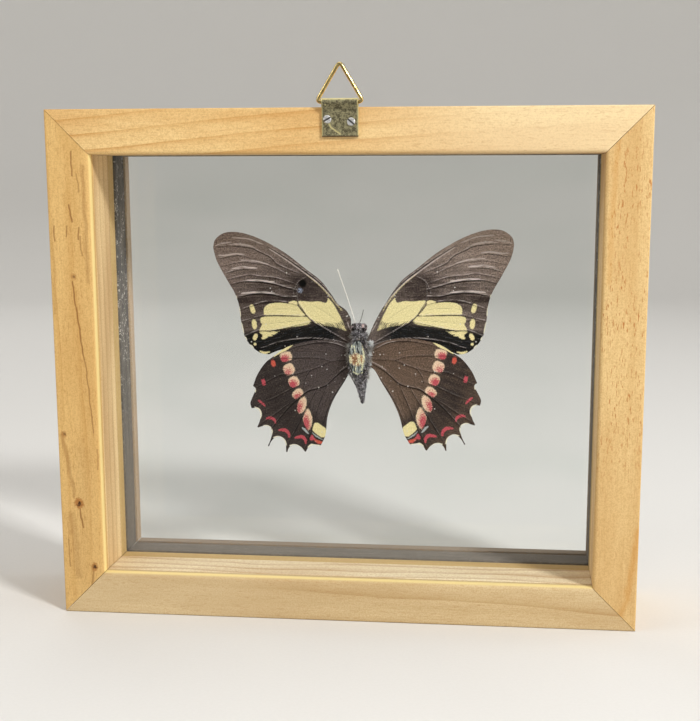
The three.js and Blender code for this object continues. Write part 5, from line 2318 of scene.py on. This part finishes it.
@dataclass
class Studio:
    """A pale seamless cove, soft lights and the camera."""

    camera_at: tuple[float, float, float] = (58.1, -468.1, 153.7)
    camera_forward: tuple[float, float, float] = (-0.113, 0.976, -0.1862)
    camera_up: tuple[float, float, float] = (-0.0197, 0.1852, 0.9825)
    focal_mm: float = 66.15
    shift: tuple[float, float] = (-0.0166, 0.0964)
    floor_radius: float = 1300.0
    cove_radius: float = 800.0
    wall_height: float = 2600.0

    def build(self) -> None:
        """Sets up everything that isn't the object."""
        self._cove()
        self._lights()
        self._camera()

    def _cove(self) -> None:
        """A round floor that curves up into a wall."""
        arc = np.linspace(0, math.pi / 2, 24)
        bend_r = self.floor_radius + self.cove_radius * np.sin(arc)
        bend_z = self.cove_radius * (1 - np.cos(arc))
        radii = np.concatenate([[1.0, 300.0, 700.0], bend_r, [bend_r[-1]]])
        heights = np.concatenate([[0.0, 0.0, 0.0], bend_z, [self.wall_height]])
        turn = np.linspace(0, 2 * math.pi, 96, endpoint=False)
        rings = np.array([np.column_stack([r * np.cos(turn), r * np.sin(turn), np.full(96, z)])
                          for r, z in zip(radii, heights)])
        places, faces = sweep(rings)
        mesh = bpy.data.meshes.new("studio_cove")
        mesh.from_pydata((places * MM).tolist(), [], faces[:-1])
        mesh.shade_smooth()
        mesh.materials.append(PaperFinish().material())
        cove = bpy.data.objects.new("studio_cove", mesh)
        bpy.context.scene.collection.objects.link(cove)
        cove.visible_glossy = False

    def _lights(self) -> None:
        """A key light from the upper right, soft light from all round and a glint for the wire ring."""
        aim = Vector((0.0, 0.0, 0.09))
        for name, place, size, watts in (
            ("key", (0.775, -0.75, 0.86), 0.19, 12.3), ("fill", (-1.5, -0.5, 0.7), 1.5, 6.0),
            ("top", (0.0, 0.1, 1.7), 1.4, 7.0), ("back", (-0.5, 1.1, 0.9), 0.8, 2.6),
            ("edge", (1.5, 0.25, 0.5), 1.2, 8.0), ("wire_glint", (-0.9, -0.35, 0.6), 0.15, 0.8),
        ):
            data = bpy.data.lights.new(name, "AREA")
            data.size = size
            data.energy = watts
            lamp = bpy.data.objects.new(name, data)
            lamp.location = place
            lamp.rotation_euler = (aim - Vector(place)).to_track_quat("-Z", "Y").to_euler()
            bpy.context.scene.collection.objects.link(lamp)
        world = bpy.data.worlds.new("studio_air")
        world.use_nodes = True
        air = world.node_tree.nodes["Background"]
        air.inputs["Color"].default_value = (1.0, 0.99, 0.97, 1.0)
        air.inputs["Strength"].default_value = 0.17
        world.cycles_visibility.glossy = False
        bpy.context.scene.world = world
        bpy.context.scene.view_settings.view_transform = "Standard"

    def _camera(self) -> None:
        """A camera at the viewing angle, with a small shift for the framing."""
        data = bpy.data.cameras.new("view")
        data.lens = self.focal_mm
        data.shift_x, data.shift_y = self.shift
        data.clip_start = 0.02
        camera = bpy.data.objects.new("view", data)
        forward, up = Vector(self.camera_forward).normalized(), Vector(self.camera_up)
        right = forward.cross(up).normalized()
        turn = Matrix((right, right.cross(forward), -forward)).transposed()
        camera.matrix_world = Matrix.Translation(Vector(self.camera_at) * MM) @ turn.to_4x4()
        bpy.context.scene.collection.objects.link(camera)
        bpy.context.scene.camera = camera


def main() -> None:
    """Builds the studio and every part of the specimen."""
    logging.basicConfig(level=logging.INFO, format="%(name)s: %(message)s")
    for part in (Studio(), Joinery(), Glazing(), Hanger(), Butterfly()):
        part.build()
        log.info("%s done", type(part).__name__)


if __name__ == "__main__":
    main()
